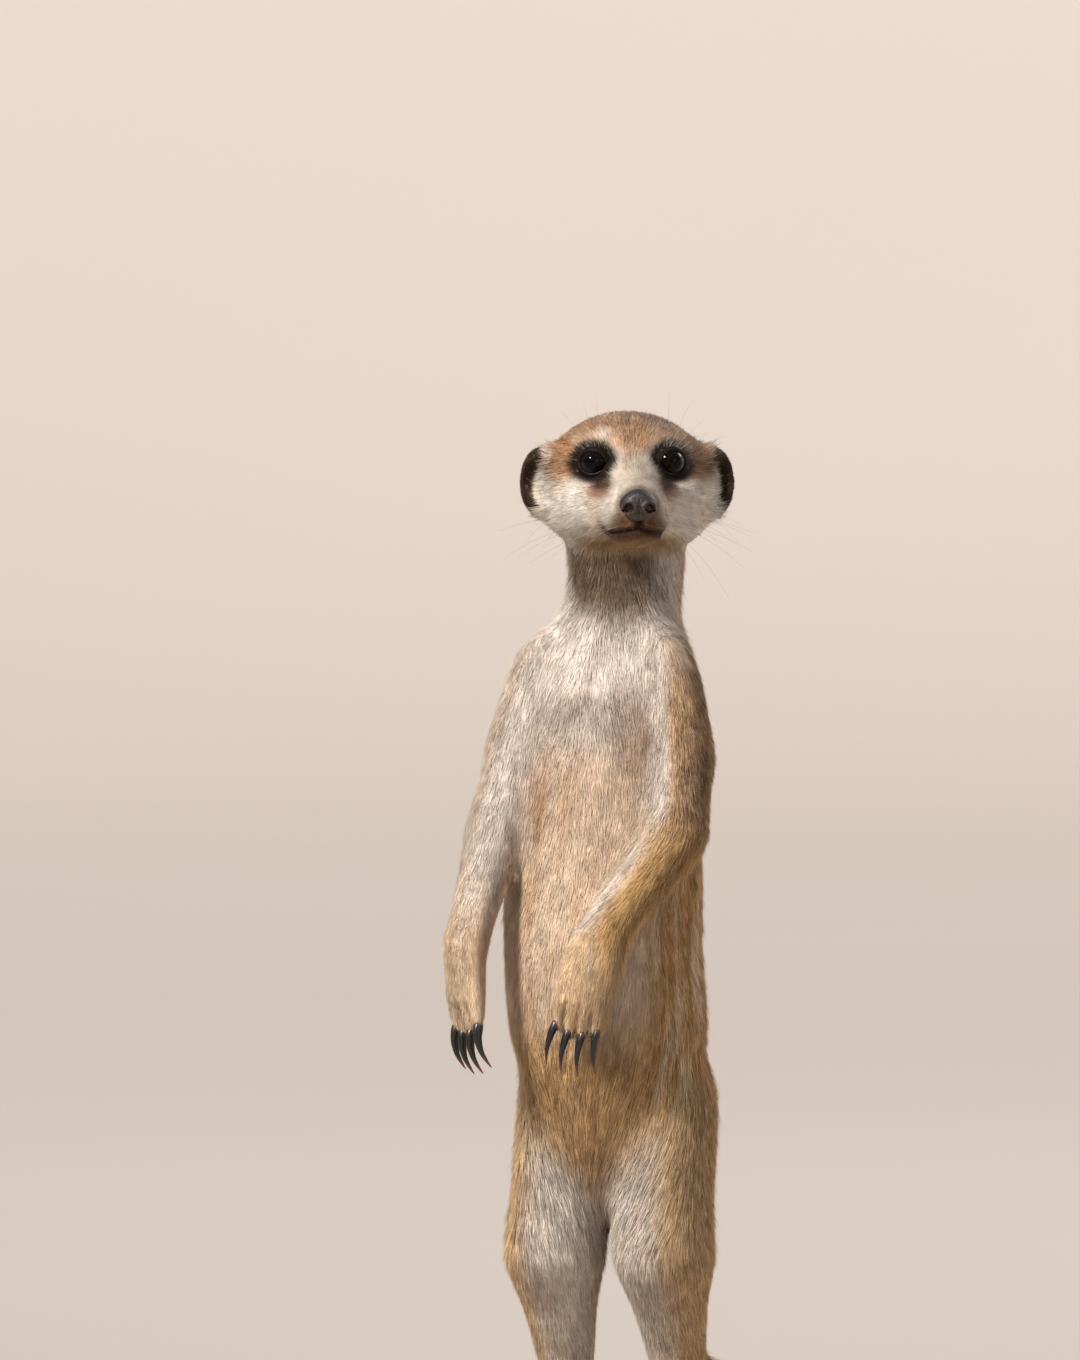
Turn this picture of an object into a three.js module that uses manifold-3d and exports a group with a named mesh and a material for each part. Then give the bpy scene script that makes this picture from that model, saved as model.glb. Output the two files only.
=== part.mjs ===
// A life-size meerkat on the look-out: upright on its hind feet and tail, arms hanging, head turned
// to its left. Millimetres, +Z up. The trunk faces -Y, so the animal's left is +X.
// The outer surface is the coat's own outline, from the crown to the tip of the tail.
import * as THREE from 'three';
import { mergeVertices } from 'three/addons/utils/BufferGeometryUtils.js';
import Module from 'manifold-3d';

const wasm = await Module();
wasm.setup();

// Driving dimensions, measured from the floor and from the trunk's middle plane.
const GAP = 0.3; // clearance left by every cut between two neighbours
const WAIST_Z = 148; // where the trunk is parted
const COLLAR_Z = 236; // where the trunk ends and the neck starts
const CROTCH_Z = 84; // inside the trunk, just above its lower end
const NECK = new THREE.Vector3(1.5, 9, 262); // middle of the neck, close under the skull
const NECK_RADIUS = 15.6;
const HEAD = new THREE.Vector3(4.2, 3.7, 287); // midway between the ears
const NAPE = new THREE.Vector3(0.5, 8.5, 290); // where the neck's line ends inside the skull
const HEAD_TURN = THREE.MathUtils.degToRad(27);
const EYE_RADIUS = 5.3;
const EYE = new THREE.Vector3(11.4, -15.9, 6); // from HEAD, the left one
const HIND_FOOT_LENGTH = 60;
const FOOT_WIDTH = 15;
const HAND_WIDTH = 16.5;
const TOES = 4;

// ---------------------------------------------------------------- fields: negative inside the flesh

const point = (x, y, z) => new THREE.Vector3(x, y, z);

// An ellipsoid of half-sizes `half`, close to a true distance near its surface.
function blob(centre, half) {
  return (p) => {
    const x = (p.x - centre.x) / half.x;
    const y = (p.y - centre.y) / half.y;
    const z = (p.z - centre.z) / half.z;
    const steep = Math.hypot(x / half.x, y / half.y, z / half.z);
    const reach = Math.hypot(x, y, z);
    return steep > 1e-9 ? (reach * (reach - 1)) / steep : -Math.min(half.x, half.y, half.z);
  };
}

// A tapering limb from a to b. `deep` widens it along Y, as a thigh is deeper than it is wide.
function taper(a, b, radiusA, radiusB, deep = 1) {
  const along = b.clone().sub(a);
  along.y /= deep;
  const lengthSq = along.lengthSq();
  const from = new THREE.Vector3();
  return (p) => {
    from.copy(p).sub(a);
    from.y /= deep;
    const t = THREE.MathUtils.clamp(from.dot(along) / lengthSq, 0, 1);
    return from.addScaledVector(along, -t).length() - THREE.MathUtils.lerp(radiusA, radiusB, t);
  };
}

// The fields joined, with hollows between them filled to about the width `soft`.
function blend(soft, ...fields) {
  return (p) => fields.map((field) => field(p)).reduce((a, b) => {
    const near = Math.max(soft - Math.abs(a - b), 0) / soft;
    return Math.min(a, b) - near * near * soft * 0.25;
  });
}

// `field` with a dent pressed into it, its rim rounded to about the width `soft`.
function dent(soft, field, hollow) {
  return (p) => {
    const a = field(p);
    const b = -hollow(p);
    const near = Math.max(soft - Math.abs(a - b), 0) / soft;
    return Math.max(a, b) + near * near * soft * 0.25;
  };
}

// ---------------------------------------------------------------- solids

// How far from `start`, which is inside, the field is left along `way`.
function skinDistance(field, start, way, grow) {
  const p = new THREE.Vector3();
  const value = (d) => field(p.copy(start).addScaledVector(way, d)) - grow;
  let outer = 1;
  while (value(outer) < 0) outer += 1;
  let inner = outer - 1;
  for (let i = 0; i < 24; i += 1) {
    const middle = (inner + outer) / 2;
    if (value(middle) < 0) inner = middle;
    else outer = middle;
  }
  return (inner + outer) / 2;
}

// A length of flesh: rings of points where rays from the line between two ends leave the field.
// An end is { at, facing } for a flat cut, or { at, round: true } where the flesh closes by itself.
function wrap(field, start, end, rings, sides, grow = 0) {
  const axis = end.at.clone().sub(start.at).normalize();
  const tip = (e, way) => (e.round
    ? e.at.clone().addScaledVector(way, skinDistance(field, e.at, way, grow))
    : e.at.clone().addScaledVector(way, grow));
  const a = tip(start, axis.clone().negate());
  const b = tip(end, axis);
  const facingA = start.facing ?? axis;
  const facingB = end.facing ?? axis;
  const across = Math.abs(axis.x) > 0.8 ? point(0, 0, 1) : point(1, 0, 0);
  const points = [a];
  for (let i = start.round ? 1 : 0; i <= rings - (end.round ? 1 : 0); i += 1) {
    let t = i / rings;
    if (start.round && end.round) t = (1 - Math.cos(Math.PI * t)) / 2;
    else if (end.round) t = Math.sin((Math.PI / 2) * t);
    else if (start.round) t = 1 - Math.cos((Math.PI / 2) * t);
    const centre = a.clone().lerp(b, t);
    const normal = facingA.clone().lerp(facingB, t).normalize();
    const u = across.clone().addScaledVector(normal, -across.dot(normal)).normalize();
    const v = normal.clone().cross(u);
    for (let j = 0; j < sides; j += 1) {
      const angle = (2 * Math.PI * j) / sides;
      const way = u.clone().multiplyScalar(Math.cos(angle)).addScaledVector(v, Math.sin(angle));
      points.push(centre.clone().addScaledVector(way, skinDistance(field, centre, way, grow)));
    }
  }
  points.push(b);
  return closedTube(points, sides);
}

// A closed body from a first point, rings of `sides` points each, and a last point.
function closedTube(points, sides) {
  const last = points.length - 1;
  const ringCount = (last - 1) / sides;
  const index = [];
  for (let j = 0; j < sides; j += 1) {
    const k = (j + 1) % sides;
    index.push(0, 1 + k, 1 + j);
    for (let r = 1; r < ringCount; r += 1) {
      const low = 1 + (r - 1) * sides;
      const high = low + sides;
      index.push(low + j, low + k, high + k, low + j, high + k, high + j);
    }
    const top = 1 + (ringCount - 1) * sides;
    index.push(last, top + j, top + k);
  }
  const geometry = new THREE.BufferGeometry().setFromPoints(points);
  geometry.setIndex(index);
  return geometry;
}

// A tube with oval rings along a curve, or from one share of its length to another. size(t) gives
// the ring's half-width, lying along `across`, and its half-height.
function tube(curve, rings, sides, size, across, begin = 0, finishAt = 1) {
  const points = [curve.getPointAt(begin)];
  for (let i = 0; i <= rings; i += 1) {
    const t = THREE.MathUtils.lerp(begin, finishAt, i / rings);
    const centre = curve.getPointAt(t);
    const normal = curve.getTangentAt(t);
    const u = across.clone().addScaledVector(normal, -across.dot(normal)).normalize();
    const v = normal.clone().cross(u);
    const [halfU, halfV] = size(t);
    for (let j = 0; j < sides; j += 1) {
      const angle = (2 * Math.PI * j) / sides;
      points.push(centre.clone()
        .addScaledVector(u, halfU * Math.cos(angle))
        .addScaledVector(v, halfV * Math.sin(angle)));
    }
  }
  points.push(curve.getPointAt(finishAt));
  return closedTube(points, sides);
}

// The same body with all that hangs below the floor flattened onto it.
function onFloor(geometry) {
  const { position } = geometry.attributes;
  for (let i = 0; i < position.count; i += 1) position.setZ(i, Math.max(position.getZ(i), 0));
  return geometry;
}

function ellipsoid(centre, half, around, up) {
  return new THREE.SphereGeometry(1, around, up)
    .rotateX(Math.PI / 2)
    .scale(half.x, half.y, half.z)
    .translate(centre.x, centre.y, centre.z);
}

function solid(geometry) {
  const bare = geometry.clone();
  bare.deleteAttribute('normal');
  bare.deleteAttribute('uv');
  const merged = mergeVertices(bare, 1e-4);
  return new wasm.Manifold(new wasm.Mesh({
    numProp: 3,
    vertProperties: new Float32Array(merged.attributes.position.array),
    triVerts: new Uint32Array(merged.index.array),
  }));
}

function shape(manifold) {
  const mesh = manifold.getMesh();
  const geometry = new THREE.BufferGeometry();
  geometry.setAttribute('position', new THREE.BufferAttribute(mesh.vertProperties, 3));
  geometry.setIndex(new THREE.BufferAttribute(mesh.triVerts, 1));
  return geometry;
}

const join = (...geometries) => shape(geometries.map(solid).reduce((a, b) => a.add(b)));

const cut = (geometry, ...tools) => shape(
  tools.map(solid).reduce((a, b) => a.subtract(b), solid(geometry)),
);

// ---------------------------------------------------------------- finishes

const finish = (color, roughness) => new THREE.MeshStandardMaterial({ color, roughness, metalness: 0 });
const tanCoat = finish('#a5895f', 0.9);
const paleCoat = finish('#cbbfae', 0.9);
const darkCoat = finish('#33261d', 0.9);
const wetEye = finish('#0b0807', 0.08);
const noseSkin = finish('#2d2828', 0.45);
const clawHorn = finish('#1a1715', 0.35);

const meerkat = new THREE.Group();

function add(group, name, geometry, material) {
  const mesh = new THREE.Mesh(geometry, material);
  mesh.name = name;
  group.add(mesh);
  return mesh;
}

const SIDES = [['left', 1], ['right', -1]];

// ---------------------------------------------------------------- head

const headGroup = new THREE.Group();
headGroup.position.copy(HEAD);
headGroup.rotation.z = HEAD_TURN;
headGroup.updateMatrixWorld();
meerkat.add(headGroup);

const mirrored = (make) => SIDES.map(([, side]) => make(side));

const headForm = blend(
  7,
  blob(point(0, 2, 2.2), point(25, 23.5, 19.7)), // skull
  ...mirrored((s) => blob(point(13 * s, -4, -7.5), point(12.6, 15, 13.5))), // cheeks
  taper(point(0, -17, -3.5), point(0, -34.8, -6.8), 12.2, 6.7), // muzzle
  taper(point(0, -4, -11), point(0, -31, -12.6), 9.5, 5.6), // lower jaw
);
const headField = mirrored((s) => blob(point(14.8 * s, -23.5, 6), point(5.6, 5.6, 5.8)))
  .reduce((field, socket) => dent(4, field, socket), headForm);

const wrapHead = (grow) => wrap(
  headField,
  { at: point(0, 8, 1), round: true },
  { at: point(0, -30, -8), round: true },
  20,
  26,
  grow,
);

const eyeCentres = mirrored((s) => point(EYE.x * s, EYE.y, EYE.z));
const eyeBall = (centre, radius) => ellipsoid(centre, point(radius, radius, radius), 12, 7);

add(headGroup, 'head', cut(wrapHead(0), ...eyeCentres.map((c) => eyeBall(c, EYE_RADIUS + GAP))), tanCoat);
SIDES.forEach(([name], i) => add(headGroup, `eye_${name}`, eyeBall(eyeCentres[i], EYE_RADIUS), wetEye));

const grownHead = wrapHead(GAP);
const nosePad = ellipsoid(point(0, -39.3, -6), point(5.7, 4.9, 4.7), 12, 8);
add(headGroup, 'nose', cut(nosePad, grownHead), noseSkin);

// An ear is a low cup on the side of the head, open to the front and hollow enough to show its rim.
for (const [name, s] of SIDES) {
  const cup = ellipsoid(point(26 * s, 0.5, -0.2), point(7.4, 7, 11.4), 12, 9);
  const hollow = ellipsoid(point(29 * s, -4.6, 0.2), point(4.6, 5.6, 7.6), 10, 7);
  add(headGroup, `ear_${name}`, cut(cup, hollow, grownHead), darkCoat);
}

// ---------------------------------------------------------------- trunk and neck

const trunkField = blend(
  16,
  blob(point(0, 1, 190), point(28, 25.5, 50)), // rib cage
  blob(point(0, -3, 134), point(31, 29.5, 52)), // belly
  blob(point(0, 7, 93), point(24, 24, 31)), // pelvis
  taper(point(0, 14, 92), point(0, 24, 78), 14, 10), // root of the tail
  taper(point(-13, 3, 224), point(13, 3, 224), 10.5, 10.5), // shoulder girdle
  taper(point(1, 6, 225), NECK, NECK_RADIUS, NECK_RADIUS), // neck
  taper(NECK, NAPE, NECK_RADIUS, NECK_RADIUS - 2.5), // its root in the skull
);

const up = point(0, 0, 1);
const spine = (z) => point(0, 2, z);
const waist = spine(WAIST_Z);
const collar = point(0.6, 5, COLLAR_Z);
const half = GAP / 2;
const shifted = (p, way, d) => p.clone().addScaledVector(way, d);

const wrapLower = (grow) => wrap(
  trunkField,
  { at: spine(CROTCH_Z), round: true, facing: up },
  { at: shifted(waist, up, -half), facing: up },
  9,
  24,
  grow,
);
const wrapUpper = (grow) => wrap(
  trunkField,
  { at: shifted(waist, up, half), facing: up },
  { at: shifted(collar, up, -half), facing: up },
  10,
  24,
  grow,
);
const wrapNeck = (grow) => wrap(
  trunkField,
  { at: shifted(collar, up, half), facing: up },
  { at: shifted(NAPE, up, -6), facing: up },
  6,
  22,
  grow,
);
const headInPlace = grownHead.clone().applyMatrix4(headGroup.matrixWorld);
add(meerkat, 'trunk_lower', wrapLower(0), tanCoat);
add(meerkat, 'trunk_upper', wrapUpper(0), paleCoat);
add(meerkat, 'neck', cut(wrapNeck(0), headInPlace), paleCoat);
const grownTrunk = [wrapLower(GAP), wrapUpper(GAP), wrapNeck(GAP)];

// ---------------------------------------------------------------- arms

const SHOULDER = point(22, -5, 227);
const ARMS = {
  left: {
    triceps: point(27.5, -10, 205),
    elbow: point(30.5, -19, 181),
    wrist: point(9.5, -38, 146),
    fingers: point(5, -40, 121),
    back: point(0.2, -1, 0),
  },
  right: {
    triceps: point(-26, -9, 205),
    elbow: point(-30.5, -17, 182),
    wrist: point(-32, -39, 145),
    fingers: point(-31, -40, 121),
    back: point(-0.6, -0.8, 0),
  },
};
const CLAW_LENGTH = 15;

// A claw: a curved, tapering horn from its flat root.
function claw(root, way, curl, length, thick) {
  const middle = root.clone().addScaledVector(way, length * 0.5).addScaledVector(curl, -length * 0.08);
  const tip = root.clone().addScaledVector(way, length * 0.92).addScaledVector(curl, length * 0.22);
  const curve = new THREE.QuadraticBezierCurve3(root, middle, tip);
  const size = (t) => [thick * 0.5 * (1 - 0.86 * t), thick * 0.72 * (1 - 0.86 * t)];
  return tube(curve, 3, 5, size, way.clone().cross(curl));
}

for (const [name, s] of SIDES) {
  const { triceps, elbow, wrist, fingers, back } = ARMS[name];
  const shoulder = point(SHOULDER.x * s, SHOULDER.y, SHOULDER.z);
  const armField = blend(
    5,
    taper(shoulder, triceps, 10, 10.4),
    taper(triceps, elbow, 10.4, 8.8),
    taper(elbow, wrist, 8.8, 6.6),
    taper(wrist, fingers, 6.4, 5.4),
  );
  const upperWay = elbow.clone().sub(shoulder).normalize();
  const lowerWay = wrist.clone().sub(elbow).normalize();
  const handWay = fingers.clone().sub(wrist).normalize();
  const elbowCut = upperWay.clone().add(lowerWay).normalize();
  const wristCut = lowerWay.clone().add(handWay).normalize();
  const upperArm = wrap(
    armField,
    { at: shoulder, round: true, facing: upperWay },
    { at: shifted(elbow, elbowCut, -half), facing: elbowCut },
    7,
    16,
  );
  add(meerkat, `upper_arm_${name}`, cut(upperArm, ...grownTrunk), tanCoat);
  const wrapForearm = (grow) => wrap(
    armField,
    { at: shifted(elbow, elbowCut, half), facing: elbowCut },
    { at: shifted(wrist, wristCut, -half), facing: wristCut },
    6,
    16,
    grow,
  );
  add(meerkat, `forearm_${name}`, cut(wrapForearm(0), ...grownTrunk), tanCoat);

  // The hand: a flattened palm and four fingers side by side, each ending at its claw's root.
  const dorsal = back.clone().addScaledVector(handWay, -back.dot(handWay)).normalize();
  const wide = handWay.clone().cross(dorsal).normalize();
  const palmEnd = fingers.clone().addScaledVector(handWay, -7);
  const palm = tube(
    new THREE.LineCurve3(shifted(wrist, handWay, -2), palmEnd),
    3,
    12,
    (t) => [THREE.MathUtils.lerp(6.7, HAND_WIDTH / 2, Math.sin(t * 1.3)), THREE.MathUtils.lerp(6.5, 4.6, t)],
    wide,
  );
  const digits = [];
  for (let i = 0; i < TOES; i += 1) {
    const place = i - (TOES - 1) / 2;
    const root = palmEnd.clone().addScaledVector(wide, place * 3.7).addScaledVector(handWay, -4);
    const reach = 12 - Math.abs(place) * 1.6;
    const way = handWay.clone().addScaledVector(wide, place * 0.06).normalize();
    const tip = root.clone().addScaledVector(way, reach).addScaledVector(dorsal, -0.6);
    const line = new THREE.LineCurve3(root, tip);
    digits.push(tube(line, 2, 6, (t) => [2.6 - 0.5 * t, 3.4 - 0.9 * t], wide));
    add(meerkat, `claw_hand_${name}_${i + 1}`, claw(
      tip.clone().addScaledVector(way, GAP),
      way,
      dorsal.clone().negate(),
      CLAW_LENGTH,
      2.5,
    ), clawHorn);
  }
  add(meerkat, `hand_${name}`, cut(join(palm, ...digits), wrapForearm(GAP)), tanCoat);
}

// ---------------------------------------------------------------- legs

const HIP = point(15.5, 7, 98);
const KNEE = point(18, -1, 52);
const HOCK = point(18.5, 11, 15);
const FOOT_HEIGHT = 5.2; // from the floor to the middle of the foot
const HIND_CLAW_LENGTH = 8;

const grownLegs = [];
for (const [name, s] of SIDES) {
  const hip = point(HIP.x * s, HIP.y, HIP.z);
  const knee = point(KNEE.x * s, KNEE.y, KNEE.z);
  const hock = point(HOCK.x * s, HOCK.y, HOCK.z);
  const legField = blend(
    8,
    taper(hip, knee, 16.6, 14.4, 1.28),
    taper(knee, hock, 14, 9, 1.1),
  );
  const heel = point(hock.x, hock.y + 2, FOOT_HEIGHT);
  const ball = point(hock.x + s, heel.y - HIND_FOOT_LENGTH + 22, FOOT_HEIGHT);
  const sole = (p) => -p.z;
  const foot = blend(6, taper(heel, ball, 6.6, 6.9), taper(hock, heel, 7, 6.4));
  const footField = (p) => Math.max(foot(p), sole(p));
  const wrapFoot = (grow) => wrap(
    footField,
    { at: heel, round: true },
    { at: ball, round: true },
    7,
    12,
    grow,
  );

  const thighWay = knee.clone().sub(hip).normalize();
  const shankWay = hock.clone().sub(knee).normalize();
  const kneeCut = thighWay.clone().add(shankWay).normalize();
  const wrapThigh = (grow) => wrap(
    legField,
    { at: hip, round: true, facing: thighWay },
    { at: shifted(knee, kneeCut, -half), facing: kneeCut },
    7,
    16,
    grow,
  );
  add(meerkat, `thigh_${name}`, cut(wrapThigh(0), ...grownTrunk), tanCoat);
  const shank = wrap(
    legField,
    { at: shifted(knee, kneeCut, half), facing: kneeCut },
    { at: shifted(hock, up, -4), facing: shankWay },
    5,
    14,
  );
  add(meerkat, `shank_${name}`, cut(shank, wrapFoot(GAP)), paleCoat);
  grownLegs.push(wrapThigh(GAP));

  const digits = [];
  for (let i = 0; i < TOES; i += 1) {
    const place = i - (TOES - 1) / 2;
    const way = point(place * 0.07, -1, 0).normalize();
    const root = ball.clone().add(point(place * (FOOT_WIDTH / TOES), 3, -1.2));
    const tip = root.clone().addScaledVector(way, 19 - Math.abs(place) * 3).setZ(3.1);
    const curve = new THREE.LineCurve3(root, tip);
    digits.push(onFloor(tube(curve, 2, 6, (t) => [2.9 - 0.6 * t, 4.1 - 1.1 * t], point(1, 0, 0))));
    add(meerkat, `claw_foot_${name}_${i + 1}`, claw(
      tip.clone().addScaledVector(way, GAP),
      way,
      point(0, 0, -1),
      HIND_CLAW_LENGTH,
      2.3,
    ), clawHorn);
  }
  add(meerkat, `foot_${name}`, join(wrapFoot(0), ...digits), paleCoat);
}

// ---------------------------------------------------------------- tail

const tailCurve = new THREE.CatmullRomCurve3([
  point(0, 22, 84),
  point(0.5, 33, 60),
  point(1, 42, 35),
  point(2, 57, 14),
  point(4, 82, 6),
  point(11, 127, 4.6),
  point(22, 168, 3.3),
  point(37, 204, 2.4),
]);
const tailRadius = (t) => {
  const closing = Math.max(t - 0.97, 0) / 0.031;
  return (2.8 + 8 * (1 - t) ** 1.3) * Math.sqrt(1 - closing * closing);
};
const TAIL_CUTS = [0, 0.3, 0.64, 1];
const tailStep = half / tailCurve.getLength();
['base', 'middle', 'tip'].forEach((name, i) => {
  const length = onFloor(tube(
    tailCurve,
    [9, 9, 10][i],
    12,
    (t) => [tailRadius(t), tailRadius(t)],
    point(1, 0, 0),
    TAIL_CUTS[i] + (i > 0 ? tailStep : 0),
    TAIL_CUTS[i + 1] - (i < 2 ? tailStep : 0),
  ));
  add(
    meerkat,
    `tail_${name}`,
    i === 0 ? cut(length, ...grownTrunk, ...grownLegs) : length,
    i === 2 ? darkCoat : tanCoat,
  );
});

// The origin is under the middle of the whole animal, on the floor.
meerkat.updateMatrixWorld(true);
const middle = new THREE.Box3().setFromObject(meerkat, true).getCenter(new THREE.Vector3());
meerkat.position.set(-middle.x, -middle.y, 0);

export default meerkat;
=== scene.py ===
# A life-size meerkat on the look-out, upright on its hind feet, as a museum model shows it.
# Metres, +Z up, the trunk faces -Y and the animal's left is +X.
import math

import bmesh
import bpy
import numpy as np
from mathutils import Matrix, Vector
from mathutils.bvhtree import BVHTree
from mathutils.kdtree import KDTree


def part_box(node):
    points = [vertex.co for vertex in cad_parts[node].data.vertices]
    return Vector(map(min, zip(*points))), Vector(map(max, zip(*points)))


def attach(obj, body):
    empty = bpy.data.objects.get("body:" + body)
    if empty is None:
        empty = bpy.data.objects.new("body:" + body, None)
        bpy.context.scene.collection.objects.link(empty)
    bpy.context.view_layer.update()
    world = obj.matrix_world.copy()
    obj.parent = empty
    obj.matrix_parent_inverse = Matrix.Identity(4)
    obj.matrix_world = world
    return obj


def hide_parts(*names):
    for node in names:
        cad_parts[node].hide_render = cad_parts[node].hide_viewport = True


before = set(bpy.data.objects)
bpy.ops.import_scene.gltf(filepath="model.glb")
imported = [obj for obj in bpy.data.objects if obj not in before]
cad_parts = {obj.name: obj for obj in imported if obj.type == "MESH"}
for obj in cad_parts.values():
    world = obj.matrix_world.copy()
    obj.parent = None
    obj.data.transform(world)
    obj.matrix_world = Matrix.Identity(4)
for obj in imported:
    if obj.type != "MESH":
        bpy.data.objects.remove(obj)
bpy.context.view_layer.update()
SIDES = {"left": 1.0, "right": -1.0}
MM = 0.001

# ------------------------------------------------------------------ skin
# The animal's skin, one closed surface from nose to tail. It is taken from copies of the parted solids,
# run together, smoothed and sunk by the depth of the coat, and then worked finer on the head.

FLESH = ["head", "neck", "trunk_upper", "trunk_lower", "tail_base", "tail_middle", "tail_tip"]
for side in SIDES:
    FLESH += [f"{part}_{side}" for part in ("ear", "upper_arm", "forearm", "hand", "thigh", "shank", "foot")]

# How far each solid is swollen to run into the next, the size of the voxels, and how near two points are one.
SEAM_FILL = 0.35 * MM
SKIN_GRAIN = 1.1 * MM
WELD = 0.002 * MM
# How often each part of the skin is smoothed, and how deep it lies under the tips of the hair.
SMOOTHING = {
    "head": 10, "ear": 3, "hand": 9, "foot": 6, "tail": 16, "neck": 36, "trunk": 42, "upper_arm": 36, "thigh": 50,
    "shank": 50,
}
LIMB_SMOOTHING = 18
HOLLOW_FILLING = {"head": 6, "ear": 0, "hand": 2, "foot": 2, "tail": 20, "forearm": 30, "upper_arm": 120,
                  "neck": 140, "trunk": 140, "thigh": 120, "shank": 120}
COAT_DEPTH = {
    "head": 1.0, "ear": 0.6, "neck": 2.4, "trunk_upper": 2.2, "trunk_lower": 2.4, "upper_arm": 1.3,
    "forearm": 1.0, "hand": 0.5, "thigh": 2.0, "shank": 1.2, "foot": 0.5, "tail": 1.3,
}


def unselect():
    bpy.ops.object.select_all(action="DESELECT")


def box_middle(name):
    return np.array([sum(c) / 2 for c in zip(*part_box(name))])


def part_value(table, name, other=None):
    """The value of the longest key that the node's name starts with."""
    keys = [key for key in table if name.startswith(key)]
    return table[max(keys, key=len)] if keys else other


def coordinates(mesh):
    points = np.empty(len(mesh.vertices) * 3)
    mesh.vertices.foreach_get("co", points)
    return points.reshape(-1, 3)


def set_coordinates(mesh, points):
    mesh.vertices.foreach_set("co", np.asarray(points, dtype=np.float32).ravel())
    mesh.update()


def normals(mesh):
    found = np.empty(len(mesh.vertices) * 3)
    mesh.vertex_normals.foreach_get("vector", found)
    return found.reshape(-1, 3)


def edges(mesh):
    pairs = np.empty(len(mesh.edges) * 2, dtype=np.int64)
    mesh.edges.foreach_get("vertices", pairs)
    return pairs.reshape(-1, 2)


def spread(values, pairs, rounds, amount=0.5):
    """Each value moved towards the mean of its neighbours'. amount may differ from vertex to vertex."""
    count = np.bincount(pairs.ravel(), minlength=len(values)).astype(float)
    amount = np.broadcast_to(np.asarray(amount, dtype=float), (len(values),))[:, None]
    for _ in range(rounds):
        total = np.zeros_like(values)
        for axis in range(values.shape[1]):
            total[:, axis] = np.bincount(pairs[:, 0], values[pairs[:, 1], axis], len(values))
            total[:, axis] += np.bincount(pairs[:, 1], values[pairs[:, 0], axis], len(values))
        values = values + amount * (total / count[:, None] - values)
    return values


def node_copy(name):
    """A new object with a solid's mesh, its split points welded."""
    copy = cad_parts[name].copy()
    copy.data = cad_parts[name].data.copy()
    for key in list(copy.keys()):
        del copy[key]
    bpy.context.collection.objects.link(copy)
    welded = bmesh.new()
    welded.from_mesh(copy.data)
    bmesh.ops.remove_doubles(welded, verts=welded.verts, dist=WELD)
    welded.to_mesh(copy.data)
    welded.free()
    return copy


unselect()
copies = []
for name in FLESH + ["eye_left", "eye_right"]:
    copy = node_copy(name)
    fill = SEAM_FILL if name in FLESH else 2 * SEAM_FILL
    set_coordinates(copy.data, coordinates(copy.data) + fill * normals(copy.data))
    copies.append(copy)
# Each finger and toe is a short fleshy rod that runs from inside the hand or foot onto the root of its claw.
# Its radius at the tip and at the back, its length and how much of the claw it covers, in millimetres.
FINGER = {"hand": (1.9, 2.5, 8.0, 1.6), "foot": (1.9, 2.6, 7.0, 1.2)}
FINGER_BALLS = 9
fingers = bmesh.new()
claw_roots = {}
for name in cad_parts:
    if name.startswith("claw_"):
        limb, side = name.split("_")[1:3]
        tip_radius, back_radius, reach, cover = FINGER[limb]
        claw = coordinates(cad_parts[name].data) / MM
        palm = box_middle(f"{limb}_{side}") / MM
        claw = claw[np.argsort(np.linalg.norm(claw - palm, axis=1))]
        claw_root = claw[: len(claw) // 5].mean(axis=0)
        along = claw[len(claw) // 4: len(claw) // 2].mean(axis=0) - claw_root
        along /= np.linalg.norm(along)
        claw_roots.setdefault((limb, side), []).append(claw_root)
        inward = (palm - claw_root) / np.linalg.norm(palm - claw_root)
        for t in np.linspace(0, 1, FINGER_BALLS):
            middle = claw_root + along * cover * (1 - t) ** 2 + (0.5 * inward - 0.5 * along) * reach * t
            ball = bmesh.ops.create_icosphere(fingers, subdivisions=2,
                                              radius=MM * (tip_radius + (back_radius - tip_radius) * t))
            bmesh.ops.translate(fingers, verts=ball["verts"], vec=Vector(middle * MM))
finger_mesh = bpy.data.meshes.new("fingers")
fingers.to_mesh(finger_mesh)
fingers.free()
copies.append(bpy.data.objects.new("fingers", finger_mesh))
bpy.context.collection.objects.link(copies[-1])
for copy in copies:
    copy.select_set(True)
bpy.context.view_layer.objects.active = copies[0]
bpy.ops.object.join()
skin = bpy.context.active_object
skin.name = "skin"
skin.data.name = "skin"
skin.data.materials.clear()
remesh = skin.modifiers.new("one_skin", "REMESH")
remesh.mode = "VOXEL"
remesh.voxel_size = SKIN_GRAIN
bpy.ops.object.modifier_apply(modifier=remesh.name)

# Every point of the skin knows the part of the body that it lies on.
cad_points, cad_faces, cad_part = [], [], []
for number, name in enumerate(FLESH):
    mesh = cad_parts[name].data
    first = sum(len(p) for p in cad_points)
    cad_points.append(coordinates(mesh))
    for face in mesh.polygons:
        cad_faces.append([first + v for v in face.vertices])
        cad_part.append(number)
cad_tree = BVHTree.FromPolygons(np.concatenate(cad_points).tolist(), cad_faces)


def parts_at(points):
    """The number in FLESH of the nearest solid to each point."""
    return np.array([cad_part[cad_tree.find_nearest(p)[2]] for p in points.tolist()])


points = coordinates(skin.data)
skin_part = parts_at(points)
pairs = edges(skin.data)

turns = np.array([part_value(SMOOTHING, name, LIMB_SMOOTHING) for name in FLESH], dtype=float)[skin_part]
turns = spread(turns[:, None], pairs, 12)[:, 0]
for turn in range(int(turns.max()) + 1):
    points = spread(points, pairs, 1, 0.5 * np.clip(turns - turn, 0, 1))


def fade(values, low, high):
    """0 at low, 1 at high and smooth between. low may lie above high."""
    t = np.clip((values - low) / (high - low), 0, 1)
    return t * t * (3 - 2 * t)


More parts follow.
